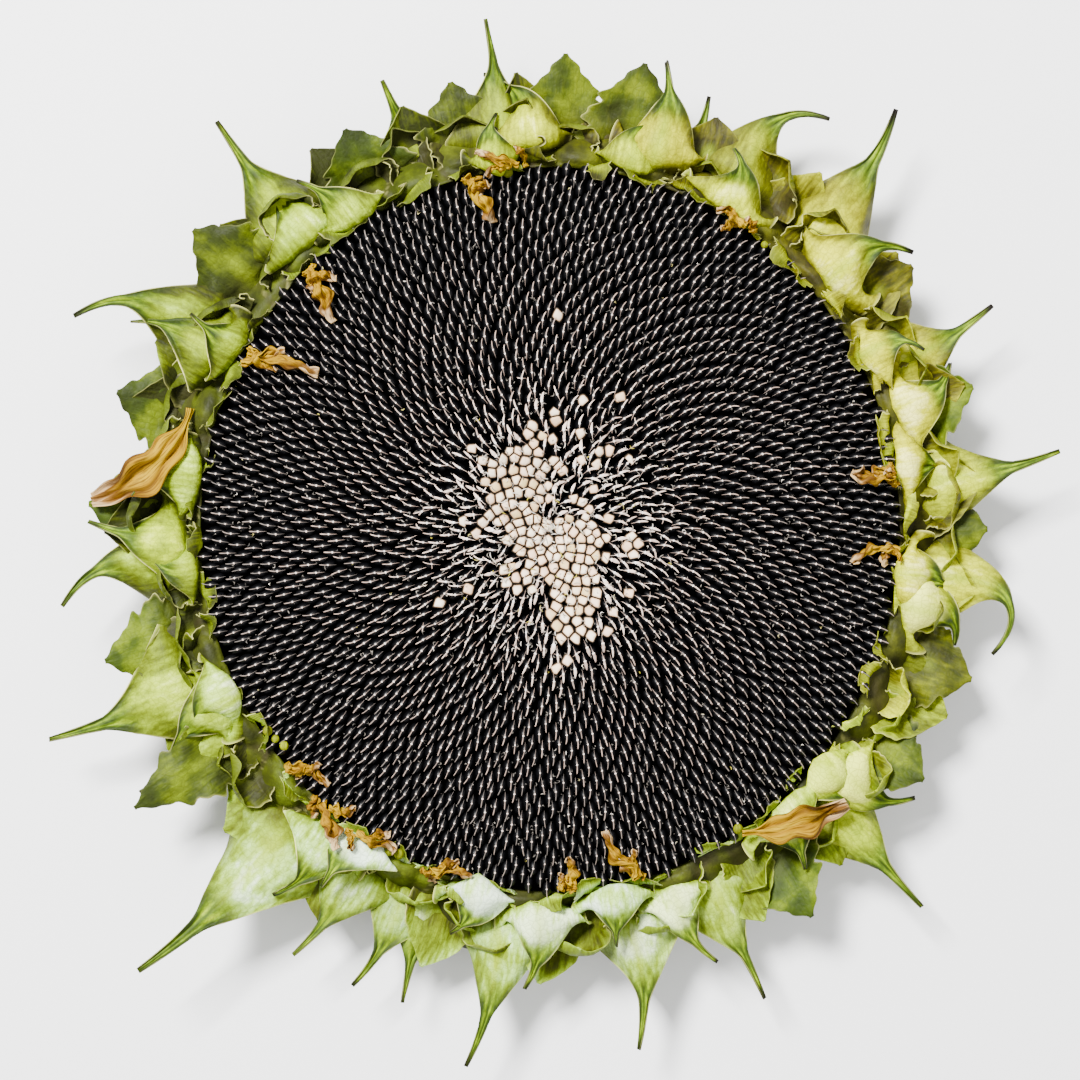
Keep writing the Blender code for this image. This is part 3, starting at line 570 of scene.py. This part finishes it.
# Low cushions that fill their cells, each with a low ridge towards the rim of the face
def emptySeeds(x, y, chosen, draw, husk):
    rings = np.array([0.0, 0.35, 0.65, 0.82, 0.92, 1.0, 1.0])[None, :, None]
    directions = fullTurn(25)
    reach = cellReach(x, y, chosen, directions, draw)
    x, y = x[chosen], y[chosen]
    count = len(x)
    angle = directions[None, None] - np.arctan2(y, x)[:, None, None]
    spread = rings * reach[:, None]
    local = np.zeros((count, 7, 25, 3))
    local[..., 0] = spread * np.cos(directions)
    local[..., 1] = spread * np.sin(directions)
    ridge = 0.22 * rings * bell(np.sin(angle / 2), 0.16)
    slope = draw.normal(0.0, 0.16, (2, count))[:, :, None, None]
    outward = np.cos(angle) * spread  # each one rises outward, over the foot of the next
    tilt = slope[0] * local[..., 0] + slope[1] * local[..., 1] + 0.3 * outward
    local[..., 2] = 0.5 + empty["height"] * (1.0 - rings**4) + ridge + tilt
    local[:, -1, :, 2] -= 1.5
    points = turnedInto(local, np.zeros(count), x, y, faceHeight(x, y))
    tint = np.broadcast_to(draw.uniform(0.0, 1.0, count)[:, None, None] ** 1.4, (count, 7, 25))
    # edge drives painted shade: the husk darkens over its outer part, towards the gaps between the seeds
    edge = np.broadcast_to(eased(rings, 0.52, 1.0), (count, 7, 25))
    quads = manyGrids(7, 25, count)
    return addMesh("emptySeeds", points, quads, husk, {"tint": tint, "edge": edge}, weld=True)


# Scraps of dry scale: narrow curved strips, denser and paler towards the middle
def chaffBits(draw, material):
    count = chaff["count"]
    r = (face["radius"] - 3.0) * draw.uniform(0.0, 1.0, count) ** 0.68
    angle = draw.uniform(0.0, 2 * math.pi, count)
    x, y = r * np.cos(angle), r * np.sin(angle)
    near = 1.0 - eased(r, 15.0, 60.0)
    a = np.linspace(-1.0, 1.0, 5)[None, :, None]
    b = np.array([-1.0, 0.0, 1.0])[None, None, :]
    length = (chaff["length"] * draw.uniform(0.3, 1.0, count) * (0.55 + 0.6 * near))[:, None, None]
    bow = draw.normal(0.0, 0.5, count)[:, None, None] * (1.0 - a**2)
    lean = draw.normal(0.0, 0.3, count)[:, None, None] * a
    local = np.zeros((count, 5, 3, 3))
    local[..., 0] = a * length / 2
    local[..., 1] = b * chaff["width"] * (1.0 - 0.6 * a**2) + bow
    local[..., 2] = 0.9 + (0.5 + 0.9 * near)[:, None, None] + lean - 0.1 * np.abs(b)
    points = turnedInto(local, draw.uniform(0.0, math.pi, count), x, y, faceHeight(x, y))
    tint = draw.uniform(0.0, 0.5, count) + 0.35 * near + 0.5 * (draw.uniform(0, 1, count) > 0.95)
    tint = np.broadcast_to(np.clip(tint, 0, 1)[:, None, None], (count, 5, 3))
    return addMesh("chaff", points, manyGrids(5, 3, count), material, {"tint": tint})


# The dark bottom of the grooves: a dome just under the seeds, closed by a wall at the rim
def seedBed(material):
    radius = np.concatenate([[0.0], np.linspace(8.0, face["radius"], 15), [face["radius"]]])
    turn = fullTurn(97)
    x, y = radius[:, None] * np.cos(turn), radius[:, None] * np.sin(turn)
    z = faceHeight(x, y) - 0.9
    z[-1] = 26.4
    quads = gridQuads(len(radius), 97)[:, ::-1]
    return addMesh("seedBed", np.stack([x, y, z], axis=-1), quads, material, weld=True)


def buildSeeds():
    draw = np.random.default_rng(11)
    x, y, pitch = seedPlaces()
    isEmpty = draw.uniform(0.0, 1.0, len(x)) < emptyShare(x, y)
    wander = 0.1 + 0.2 * (1.0 - eased(np.hypot(x, y), 20.0, 70.0))
    wander = (wander + 0.06 * isEmpty) * pitch * 0.5
    x = x + draw.normal(0.0, 1.0, len(x)) * wander
    y = y + draw.normal(0.0, 1.0, len(y)) * wander
    husk, crest = huskMaterial(), crestMaterial()
    full = ~isEmpty
    near = 1.0 - eased(np.hypot(x, y), 25.0, 62.0)
    forked = full & (draw.uniform(0.0, 1.0, len(x)) < 0.4 * near)
    body = ripeSeeds(x[full], y[full], pitch[full], draw, husk)
    paleOnes = emptySeeds(x, y, np.flatnonzero(isEmpty), draw, emptyHuskMaterial())
    same = np.ones(forked.sum())
    gain = 0.52 + 0.45 * (1.0 - eased(np.hypot(x, y), 50.0, 110.0)) + 0.5 * near
    tooth = patchNear(x, y) * draw.uniform(0.3, 1.3, len(x))
    tooth = tooth + 0.25 * near * draw.uniform(0.0, 1.0, len(x)) ** 2
    pieces = [
        body,
        crests("crests", x[full], y[full], pitch[full], draw, crest, 0.07 + 0.25 * near[full],
               gain[full], 1.0 + 0.12 * near[full], tooth[full]),
        crests("forks", x[forked], y[forked], pitch[forked], draw, crest, 0.9 * same, 1.2 * same, 0.55 * same,
               0.0 * same),
        seedBed(bedMaterial()),
        chaffBits(draw, chaffMaterial()),
        paleOnes,
    ]
    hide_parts("seeds")
    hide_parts("empty_seeds")
    print("seeds:", full.sum(), "ripe,", isEmpty.sum(), "empty")
    return pieces


# The bracts

# Half width over the greatest, from root to tip. A leafy blade is oval with a toothed edge; the others
# are widest at their shoulder and fall in a hollow line to a long tail.
def outline(blade, s):
    if blade["leafy"]:
        teeth = 1.0 + blade["teeth"] * (np.sin(33.0 * s + blade["phase"]) + 0.8 * np.sin(57.0 * s))
        return (0.75 + 0.25 * eased(s, 0.0, 0.4)) * np.sqrt(1.0 - 0.998 * eased(s, 0.35, 1.0)) * teeth
    fall = np.clip((s - blade["shoulder"]) / 0.42, 0.0, 1.0)
    body = (0.84 + 0.16 * eased(s, 0.0, 0.25)) * (1.0 - fall) ** 1.6
    return body + 0.26 * (1.0 - 0.86 * s) * eased(s, 0.1, 0.5)


# Path, heading and yaw of a blade of length 1: the path is the running sum of its heading.
def centreLine(blade, s):
    fine = np.linspace(0.0, 1.0, 201)
    swing = (blade["lay"] - blade["rise"]) * eased(fine, 0.05, blade["bend"])
    pitch = np.radians(blade["rise"] + swing + blade["tailLift"] * eased(fine, 0.5, 1.0))
    yaw = np.radians(blade["tailTurn"] * eased(fine, 0.42, 1.0))
    heading = np.stack([np.cos(pitch) * np.cos(yaw), np.cos(pitch) * np.sin(yaw), np.sin(pitch)])
    steps = (heading[:, 1:] + heading[:, :-1]) / 400
    path = np.concatenate([np.zeros((3, 1)), np.cumsum(steps, axis=1)], axis=1)
    along = np.stack([np.interp(s, fine, line) for line in path], axis=-1)
    ahead = np.stack([np.interp(s, fine, line) for line in heading], axis=-1)
    return along, ahead, np.interp(s, fine, yaw)


# Folds and wrinkles of the flesh: sharp-crested waves in random directions over the blade's own plane
def crumple(blade, name, s, u):
    draw = random.Random(name + " crumple")
    lengthwise, crosswise = s * blade["length"], u * blade["width"] / 2
    total = 0.0
    for wave in (26.0, 19.0, 14.0, 10.0, 7.0, 5.0):
        turn = draw.uniform(-0.9, 0.9)
        phase = draw.uniform(0.0, 6.28)
        reach = lengthwise * math.sin(turn) + crosswise * math.cos(turn)
        total = total + wave / 26.0 * (1.0 - 2.0 * np.abs(np.sin(3.14 * reach / wave + phase)) ** 0.8)
    return bractLook["crumple"] * total * eased(s, 0.02, 0.2) * (1.0 - 0.85 * eased(s, 0.5, 0.8))


# Middle surface of a blade: each row is a curled arc with waved edges, wrapped round the head.
def bladeSurface(blade, name, s, u):
    path, ahead, yaw = centreLine(blade, s)
    level = np.stack([-np.sin(yaw), np.cos(yaw), np.zeros_like(yaw)], axis=-1)
    upper = np.cross(ahead, level)
    roll = np.radians(blade["roll"] * eased(s, 0.08, 0.4) + blade["twist"] * eased(s, 0.4, 1.0))
    cos, sin = np.cos(roll)[:, None], np.sin(roll)[:, None]
    side = level * cos + upper * sin
    up = upper * cos - level * sin
    half = (blade["width"] / 2 * outline(blade, s))[:, None]
    bodyCurl = blade["curl"] * (0.5 + 0.5 * eased(s, 0.04, 0.3)) * (1.0 - eased(s, 0.42, 0.75))
    curl = (bodyCurl + blade["tailCurl"] * eased(s, 0.55, 0.85) + 0.01)[:, None]
    beat = np.sin(2 * np.pi * blade["waves"] * s[:, None] + blade["phase"] + 1.9 * np.sign(u))
    wave = blade["wave"] * beat * u**2 * half * eased(s, 0.1, 0.3)[:, None]
    folded = (eased(s, 0.1, 0.3) * (1.0 - eased(s, 0.5, 0.75)))[:, None]
    ridge = blade["ridge"] * half * (1.0 - np.sqrt(u**2 + 0.02)) * folded
    across = half * np.sin(curl * u) / curl
    lift = half * (1.0 - np.cos(curl * u)) / curl + wave + ridge + crumple(blade, name, s[:, None], u)
    points = blade["length"] * path[:, None] + across[..., None] * side[:, None]
    points = points + lift[..., None] * up[:, None]
    outward = np.maximum(blade["rootRadius"] + points[..., 0], blade["nearest"])
    angle = math.radians(blade["angle"]) + points[..., 1] / outward
    height = blade["rootHeight"] + points[..., 2]
    return np.stack([outward * np.cos(angle), outward * np.sin(angle), height], axis=-1)


def drawn(draw, row):  # one blade: a pair becomes a number between its two, and a list one of its items
    blade = {}
    for key, value in row.items():
        if isinstance(value, tuple):
            value = draw.uniform(*value)
        elif isinstance(value, list):
            value = draw.choice(value)
        blade[key] = value
    return blade


# Each outer bract is as long as it takes, and set at such an angle, that its tip falls at its place.
def outerWhorl():
    whorl = []
    for number, (tipAngle, reach, width, turn, lift) in enumerate(outerBracts):
        tipX = reach * math.cos(math.radians(tipAngle)) / oval[0]
        tipY = reach * math.sin(math.radians(tipAngle)) / oval[1]
        blade = drawn(random.Random(f"outer {number}"), outerRow)
        blade |= {"width": width, "tailLift": lift, "tailTurn": turn * 1.5}
        tip = centreLine(blade, 1.0)[0]
        tipRadius = math.hypot(tipX, tipY)
        blade["length"] = (tipRadius - blade["rootRadius"]) / tip[0]
        blade["angle"] = math.degrees(math.atan2(tipY, tipX) - blade["length"] * tip[1] / tipRadius)
        whorl.append(blade)
    return whorl


# An older bract is longer than its reach, since it rises before it lies down.
def lowerWhorl():
    whorl = []
    for number, (direction, reach, width) in enumerate(lowerBracts):
        blade = drawn(random.Random(f"lower {number}"), lowerRow)
        blade |= {"width": width, "length": 1.22 * (reach - blade["rootRadius"]), "angle": direction}
        whorl.append(blade)
    return whorl


# Like blades at even steps round the head, each off its step by the share that it drew
def evenWhorl(name, row):
    whorl = []
    for number in range(rowCounts[name]):
        blade = drawn(random.Random(f"{name} {number}"), row)
        blade["angle"] = 360.0 / rowCounts[name] * (number + blade["angle"])
        blade["tailTurn"] *= blade.get("side", 1)
        whorl.append(blade)
    return whorl


# Cream on the right, lime at the upper left and mint below, as a number from 0 to 1: a small start plus
# two bell curves over the direction
def hueAt(direction):
    lime = 0.5 * bell(np.radians((direction - 135.0 + 180.0) % 360.0 - 180.0), 0.9)
    mint = 0.95 * bell(np.radians((direction - 255.0 + 180.0) % 360.0 - 180.0), 1.15)
    return np.clip(lime + mint + 0.08, 0.0, 1.0)


# Closed sheet: every row is a loop that runs along the lower face and back along the upper one.
def sheetLoops(surface, thickness):
    rows, columns = surface.shape[:2]
    normal = np.cross(np.gradient(surface, axis=0), np.gradient(surface, axis=1))
    normal /= np.maximum(np.linalg.norm(normal, axis=-1, keepdims=True), 1e-9)
    half = np.broadcast_to(thickness, (rows, columns))[..., None] / 2 * normal
    loop = np.concatenate([surface - half, (surface + half)[:, ::-1]], axis=1)
    around = 2 * columns
    ids = np.arange(rows * around).reshape(rows, around)
    nextIds = np.roll(ids, -1, axis=1)
    sides = np.stack([ids[:-1], nextIds[:-1], nextIds[1:], ids[1:]], axis=-1).reshape(-1, 4)
    left = np.arange(columns - 1)
    right = around - 1 - left
    root = np.stack([ids[0, left], ids[0, right], ids[0, right - 1], ids[0, left + 1]], axis=-1)
    tip = np.stack([ids[-1, left], ids[-1, left + 1], ids[-1, right - 1], ids[-1, right]], axis=-1)
    return loop, np.concatenate([sides, root, tip])


def bladePiece(blade, name, rows, columns, thickness):
    draw = random.Random(name + " colour")
    s = np.linspace(0.0, 1.0, rows)
    u = np.sin(np.linspace(-math.pi / 2, math.pi / 2, columns))[None, :]  # columns close up at the edges
    surface = bladeSurface(blade, name, s, u)
    loop, quads = sheetLoops(surface, thickness * (1.0 - 0.55 * u**4))
    both = np.concatenate([u, u[:, ::-1]], axis=1) * np.ones((rows, 1))
    edge = np.abs(both)
    along = s[:, None] * np.ones_like(both)
    body = eased(along, 0.1, 0.3) * (1.0 - eased(along, 0.5, 0.72))
    leafy = draw.uniform(0.1, 0.9) * (blade["leafy"] and 0.0 < blade["bright"] < 0.5)
    hue = hueAt(blade["angle"])
    spread = 0.35 + 0.5 * eased(hue, 0.5, 1.0)  # how far the pale fold reaches towards the edges
    # The fold is paler the higher it stands: partly its own colour, partly painted light on the tops.
    strength = min(draw.uniform(0.6, 1.25), 1.0) * (0.45 + 0.55 * eased(loop[..., 2], 25.0, 38.0))
    # Painted light: bracts paler towards that direction and darker on the opposite side, as a cosine of their
    # direction
    paintedSideLight = bractLook["paintedLightSwing"] * math.cos(math.radians(blade["angle"] - bractLook["paintedLightSide"])) - 0.055
    if blade["bright"]:
        faded = 1.0 - (1.0 - spread) * eased(edge, 0.1, 0.9)
        paleness = 0.31 + 0.85 * paintedSideLight + 0.68 * body * faded * strength
        paleness = paleness * blade["bright"]
    else:
        lightest = draw.uniform(0.05, 0.35)
        paleness = paintedSideLight + draw.uniform(0.04, 0.2) + lightest * eased(along, 0.35, 1.0)
        paleness = paleness + 0.1 * eased(edge, 0.5, 1.0)
    rimmed = 0.5 if blade["leafy"] else 1.0
    layers = {
        "along": along * blade["length"] / 40.0,
        "strip": both * outline(blade, s)[:, None] * 1.8 + draw.uniform(0.0, 40.0),
        "hue": np.clip(hue + draw.uniform(-0.15, 0.15), 0.0, 1.0) * np.ones_like(both),
        "side": np.concatenate([np.ones((rows, columns)), np.zeros((rows, columns))], axis=1),
        "pale": paleness,
        "green": eased(along, 0.46, 0.68) * (not blade["leafy"]),
        "lit": 0.62 - 0.7 * eased(edge, 0.3, 0.85) - 0.5 * bell(edge, 0.2),
        "rib": bell(edge, 0.14) * body * draw.uniform(0.2, 1.0),
        "rim": eased(edge, 0.97, 1.0) * (1.0 - 0.8 * eased(along, 0.5, 0.75)) * rimmed,
        "leafy": leafy * np.ones_like(both),
        "burn": eased(along, draw.uniform(0.8, 0.95), 0.99) * draw.uniform(0.5, 1.0) * (not blade["leafy"]),
        # painted shade: darker the lower the sheet stands, on the inner part of the blade
        "shade": 0.95 * (1.0 - eased(loop[..., 2], 18.0, 35.0)) * (1.0 - eased(along, 0.4, 0.65)),
    }
    return loop.reshape(-1, 3), quads, {key: value.ravel() for key, value in layers.items()}


def joinedBlades(name, whorl, material, look=bractLook):
    size = (look["rows"], look["columns"], look["thickness"])
    sheets = [bladePiece(blade, f"{name} {number}", *size) for number, blade in enumerate(whorl)]
    points, quads, layers = joined(sheets)
    return addMesh(name, points, quads, material, layers)


# The fleshy ring that the bracts grow from: a turned section whose top swells into rounded pockets,
# each a dome round its own centre, with a crease half way to the next.
def pocketRing(material):
    draw = np.random.default_rng(5)
    centres = []
    for radius, count in pockets["rings"]:
        turn = (np.arange(count) + draw.uniform(-0.3, 0.3, count)) * 2 * math.pi / count + draw.uniform(0, 1)
        r = radius + draw.uniform(-2.5, 2.5, count)
        centres.append(np.stack([r * np.cos(turn), r * np.sin(turn)], axis=-1))
    centres = np.concatenate(centres)
    turn = fullTurn(pockets["columns"])
    inner = [(118.9, 27.0), (119.0, 30.0)]
    slope = ([119.0, 124.0, 130.0, 136.0, 140.0], [32.5, 31.0, 24.5, 18.0, 13.0])
    top = [(r, np.interp(r, *slope)) for r in np.linspace(119.2, 140.0, 26)]
    below = [(140.5, 11.5), (139.0, 10.4), (132.0, 11.0), (124.0, 12.0), (117.0, 13.0), (115.0, 15.0),
             (118.9, 27.0)]
    radius, height = np.array(inner + top + below).T
    rising = eased(np.linspace(0, 1, len(top)), 0.0, 0.12)
    falling = np.linspace(1.0, 0.0, len(below)) ** 2
    swell = np.concatenate([np.zeros(len(inner)), rising, falling])
    lobes = 3.0 * np.sin(7 * turn + 1.0) + 2.5 * np.sin(11 * turn + 2.2)
    radius = radius[:, None] + np.clip((radius[:, None] - 130.0) / 14.0, 0.0, 1.0) * lobes
    x, y = radius * np.cos(turn), radius * np.sin(turn)
    gap = np.hypot(x[..., None] - centres[:, 0], y[..., None] - centres[:, 1])
    gap = np.partition(gap, 1, axis=-1)[..., :2]
    dome = np.sqrt(np.clip(1.0 - (gap[..., 0] / pockets["cellRadius"]) ** 2, 0.02, 1.0))
    z = height[:, None] + swell[:, None] * pockets["depth"] * (dome - 0.35)
    crease = 1.0 - eased(gap[..., 1] - gap[..., 0], 0.2, 3.2)
    owner = np.sin(x * 0.09) * np.cos(y * 0.11)  # slow change of tone from one pocket to another
    plain = np.zeros_like(x)
    layers = {
        "along": y * 0.03, "strip": x * 0.03, "side": plain, "rib": plain, "green": plain,
        "burn": plain, "lit": plain,
        "hue": hueAt(np.degrees(turn))[None] * np.ones_like(x), "pale": 0.16 + 0.12 * owner,
        "rim": 0.5 * (1.0 - eased(gap[..., 1] - gap[..., 0], 0.0, 0.5)) * (owner > 0.1),
        # shade is painted shade: dark over all the low ring, darkest in the creases between the pockets
        "leafy": 0.2 + 0.2 * owner, "shade": np.clip(0.45 + 0.55 * crease, 0.0, 1.0),
    }
    quads = gridQuads(len(radius), pockets["columns"])[:, ::-1]
    return addMesh("pocketRing", np.stack([x, y, z], axis=-1), quads, material, layers, weld=True)


def turnedPiece(name, profile, sides, material):
    turn = fullTurn(sides + 1)
    radius, height = np.array(profile).T
    x, y = radius[:, None] * np.cos(turn), radius[:, None] * np.sin(turn)
    z = height[:, None] * np.ones_like(turn)
    quads = gridQuads(len(radius), sides + 1)
    return addMesh(name, np.stack([x, y, z], axis=-1), quads, material, weld=True)


# Round buds that never opened, each a ball on the edge of the seeds
def budCluster(material):
    draw = np.random.default_rng(9)
    rows, columns = 9, 15
    rise = np.linspace(-math.pi / 2, math.pi / 2, rows)[:, None]
    turn = fullTurn(columns)[None, :]
    ball = [np.cos(rise) * np.cos(turn), np.cos(rise) * np.sin(turn), np.sin(rise) * np.ones_like(turn)]
    ball = np.stack(ball, axis=-1)
    direction, radius = np.radians([bud[0] for bud in buds]), np.array([bud[1] for bud in buds])
    x, y = radius * np.cos(direction), radius * np.sin(direction)
    local = ball[None] * draw.uniform(1.2, 1.8, len(buds))[:, None, None, None]
    points = turnedInto(local, np.zeros(len(buds)), x, y, faceHeight(x, y) + 2.0)
    same = np.zeros(points.shape[:3])
    layers = {key: same for key in ("along", "side", "rib", "green", "lit", "rim", "leafy", "burn", "shade")}
    layers |= {"strip": points[..., 0] * 0.3, "hue": same + 0.3, "pale": same + 0.38}
    return addMesh("buds", points, manyGrids(rows, columns, len(buds)), material, layers, weld=True)


def buildBracts():
    leaf = bractMaterial()
    pieces = [
        pocketRing(leaf),
        joinedBlades("lowerBracts", lowerWhorl(), leaf),
        joinedBlades("lobes", evenWhorl("lobe", lobeRow), leaf),
        joinedBlades("outerBracts", outerWhorl(), leaf),
        joinedBlades("cups", evenWhorl("cup", cupRow), leaf),
        joinedBlades("middleBracts", evenWhorl("middle", middleRow), leaf),
        joinedBlades("innerBracts", evenWhorl("inner", innerRow), leaf),
        joinedBlades("scales", evenWhorl("scale", scaleRow), leaf, scaleLook),
        budCluster(leaf),
    ]
    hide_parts("bracts")
    print("bracts:", [len(piece.data.polygons) for piece in pieces])
    return pieces


# Ray florets

def groundHeight(trees, x, y, reach):  # highest thing under a small square, in millimetres
    highest = 0.0
    for stepX in (-reach, 0.0, reach):
        for stepY in (-reach, 0.0, reach):
            spot = placed([[x + stepX, y + stepY, 0.0]])[0]
            for tree in trees:
                place = tree.ray_cast(Vector((spot[0], spot[1], 1.0)), Vector((0.0, 0.0, -1.0)))[0]
                if place is not None:
                    highest = max(highest, place.z / mm)
    return highest


# A crumpled strip that curls into a half tube and back; each row rests on what lies under it.
def petalStrip(draw, start, course, bend, length, width, trees):
    rows, columns = 40, 17
    s = np.linspace(0.0, 1.0, rows)
    broad = length > longFloret
    wander = draw.uniform(0.3, 0.6) * np.sin(5.0 * s + draw.uniform(0, 6.28)) * s
    course = course + bend * (s - 0.45) + (0.4 if broad else 1.0) * wander
    x = start[0] + np.cumsum(length / rows * np.cos(course))
    y = start[1] + np.cumsum(length / rows * np.sin(course))
    half = width / 2 * (0.35 + 0.65 * np.sin(np.pi * np.clip(s, 0.08, 0.94) ** 0.9))
    if broad:  # a thin claw that opens into the blade, and tapers again
        half = width / 2 * (0.2 + 0.8 * eased(s, 0.08, 0.45) * (1.0 - 0.8 * eased(s, 0.6, 1.0)))
    half = half * (0.85 + 0.2 * np.sin(19.0 * s + draw.uniform(0, 6.28)))
    coarse = np.array([groundHeight(trees, *spot) for spot in zip(x[::3], y[::3], half[::3] * 0.5)])
    ground = np.interp(s, s[::3], coarse)
    ground = np.convolve(np.pad(ground, 3, mode="edge"), np.ones(7) / 7, mode="valid")
    u = np.linspace(-1.0, 1.0, columns)[None, :]
    curl = ((0.9 if broad else 2.4) * np.sin(5.2 * s + draw.uniform(0, 6.28)) + 0.01)[:, None]
    lean = ((0.4 if broad else 1.2) * np.sin(4.3 * s + draw.uniform(0, 6.28)))[:, None]
    across = half[:, None] * np.sin(curl * u) / curl
    lift = half[:, None] * (1.0 - np.cos(curl * u)) / curl
    lift = lift + 0.8 * np.sin(6.0 * u + 9.0 * s[:, None]) + 0.45 * np.sin(11.0 * u - 17.0 * s[:, None])
    pleats = np.abs(np.sin(4.2 * u + 1.2 * np.sin(4.0 * s[:, None])))
    lift = lift + broad * 1.8 * (pleats - 0.5)
    across, lift = across * np.cos(lean) - lift * np.sin(lean), across * np.sin(lean) + lift * np.cos(lean)
    lift = lift - lift.min(axis=1, keepdims=True) + 0.5
    lift = lift + 1.4 * np.abs(np.sin(4.0 * s + draw.uniform(0, 6.28)))[:, None]
    sheetX = x[:, None] - np.sin(course)[:, None] * across
    sheetY = y[:, None] + np.cos(course)[:, None] * across
    surface = np.stack([sheetX, sheetY, ground[:, None] + lift], axis=-1)
    loop, quads = sheetLoops(surface, np.full((rows, columns), 0.25))
    both = np.concatenate([u, u[:, ::-1]], axis=1) * np.ones((rows, 1))
    along = s[:, None] * np.ones_like(both)
    folds = np.concatenate([pleats, pleats[:, ::-1]], axis=1)
    # Painted shade: 1 - folds tints the hollows between the pleats towards dark brown
    tint = 0.5 * np.abs(both) * along + 0.75 * along**4 + 0.35 * (1.0 - folds) + draw.uniform(-0.1, 0.2)
    tint = np.clip(tint, 0.0, 1.0)
    layers = {"tint": tint.ravel(), "strip": both.ravel() * 2.2, "along": along.ravel()}
    return loop.reshape(-1, 3), quads, layers


def rayFloret(number, direction, radius, length, width, heading, bend, trees, material):
    draw = np.random.default_rng(100 + number)
    radial = math.radians(direction)
    strips = [(0.0, heading, length, width)]  # offset from the root, heading, length and width
    if length < longFloret:
        strips.append((draw.uniform(2, 4), heading + draw.uniform(20, 60), length * 0.6, width * 0.7))
        strips.append((-draw.uniform(2, 4), heading - draw.uniform(20, 60), length * 0.5, width * 0.6))
    sheets = []
    for offset, turn, stripLength, stripWidth in strips:
        start = (radius * math.cos(radial) - offset * math.sin(radial),
                 radius * math.sin(radial) + offset * math.cos(radial))
        course = math.radians(direction + turn)
        sheets.append(petalStrip(draw, start, course, math.radians(bend), stripLength, stripWidth, trees))
    points, quads, layers = joined(sheets)
    piece = addMesh(f"rayFloret{number:02d}", points, quads, material, layers)
    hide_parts(f"ray_floret_{number:02d}")
    return piece


def buildFlorets(under):
    graph = bpy.context.evaluated_depsgraph_get()
    trees = [BVHTree.FromObject(piece, graph) for piece in under]
    material = petalMaterial()
    for number, sizes in enumerate(rayFlorets, start=1):
        rayFloret(number, *sizes, trees, material)
    print("ray florets:", len(rayFlorets))


# The back, turned from a smooth profile, with the cut stem in its middle
def buildBack():
    coarse = np.array([
        (0, 2), (14, 2), (15, 2.2), (16, 6), (22, 4.6), (34, 1.6), (46, 0.15),
        (57, 0), (68, 0.15), (84, 1.6), (99, 5), (111, 10), (117.5, 16),
        (120.2, 22), (120.2, 26), (90, 26), (0, 26),
    ])
    run = np.concatenate([[0.0], np.cumsum(np.linalg.norm(np.diff(coarse, axis=0), axis=1))])
    fine = np.linspace(0.0, run[-1], 90)
    profile = np.stack([np.interp(fine, run, coarse[:, 0]), np.interp(fine, run, coarse[:, 1])], axis=1)
    back = turnedPiece("receptacleBack", profile, 180, skinMaterial())
    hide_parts("receptacle")
    return back


# Floor, light and camera

def buildStage():
    floorMaterial, _, shader = newMaterial("floorPaint", 0.9)
    shader.inputs["Base Color"].default_value = toLinear("#fcfcfc")
    mesh = bpy.data.meshes.new("floor")
    mesh.from_pydata([(-3, -3, 0), (3, -3, 0), (3, 3, 0), (-3, 3, 0)], [], [(0, 1, 2, 3)])
    mesh.materials.append(floorMaterial)
    floor = inScene("floor", mesh)
    world = bpy.data.worlds.new("studio")
    bpy.context.scene.world = world
    world.use_nodes = True
    sky = world.node_tree.nodes["Background"].inputs
    sky["Color"].default_value = (1.0, 1.0, 1.0, 1.0)
    sky["Strength"].default_value = skyStrength
    for name, (place, size, power) in lamps.items():
        light = bpy.data.lights.new(name, "AREA")
        light.size = size
        light.energy = power
        lamp = inScene(name, light)
        lamp.location = place
        lamp.rotation_euler = (-Vector(place)).to_track_quat("-Z", "Y").to_euler()


def buildCamera():
    lens = bpy.data.cameras.new("camera")
    lens.lens = view["lens"]
    lens.sensor_width = view["sensor"]
    camera = inScene("camera", lens)
    place = faceCentre + np.array(view["shift"])
    camera.location = (place[0], place[1], view["faceTop"] + view["height"])
    bpy.context.scene.camera = camera


seedPieces = buildSeeds()
bractPieces = buildBracts()
buildFlorets(seedPieces[:1] + bractPieces)
buildBack()
buildStage()
buildCamera()
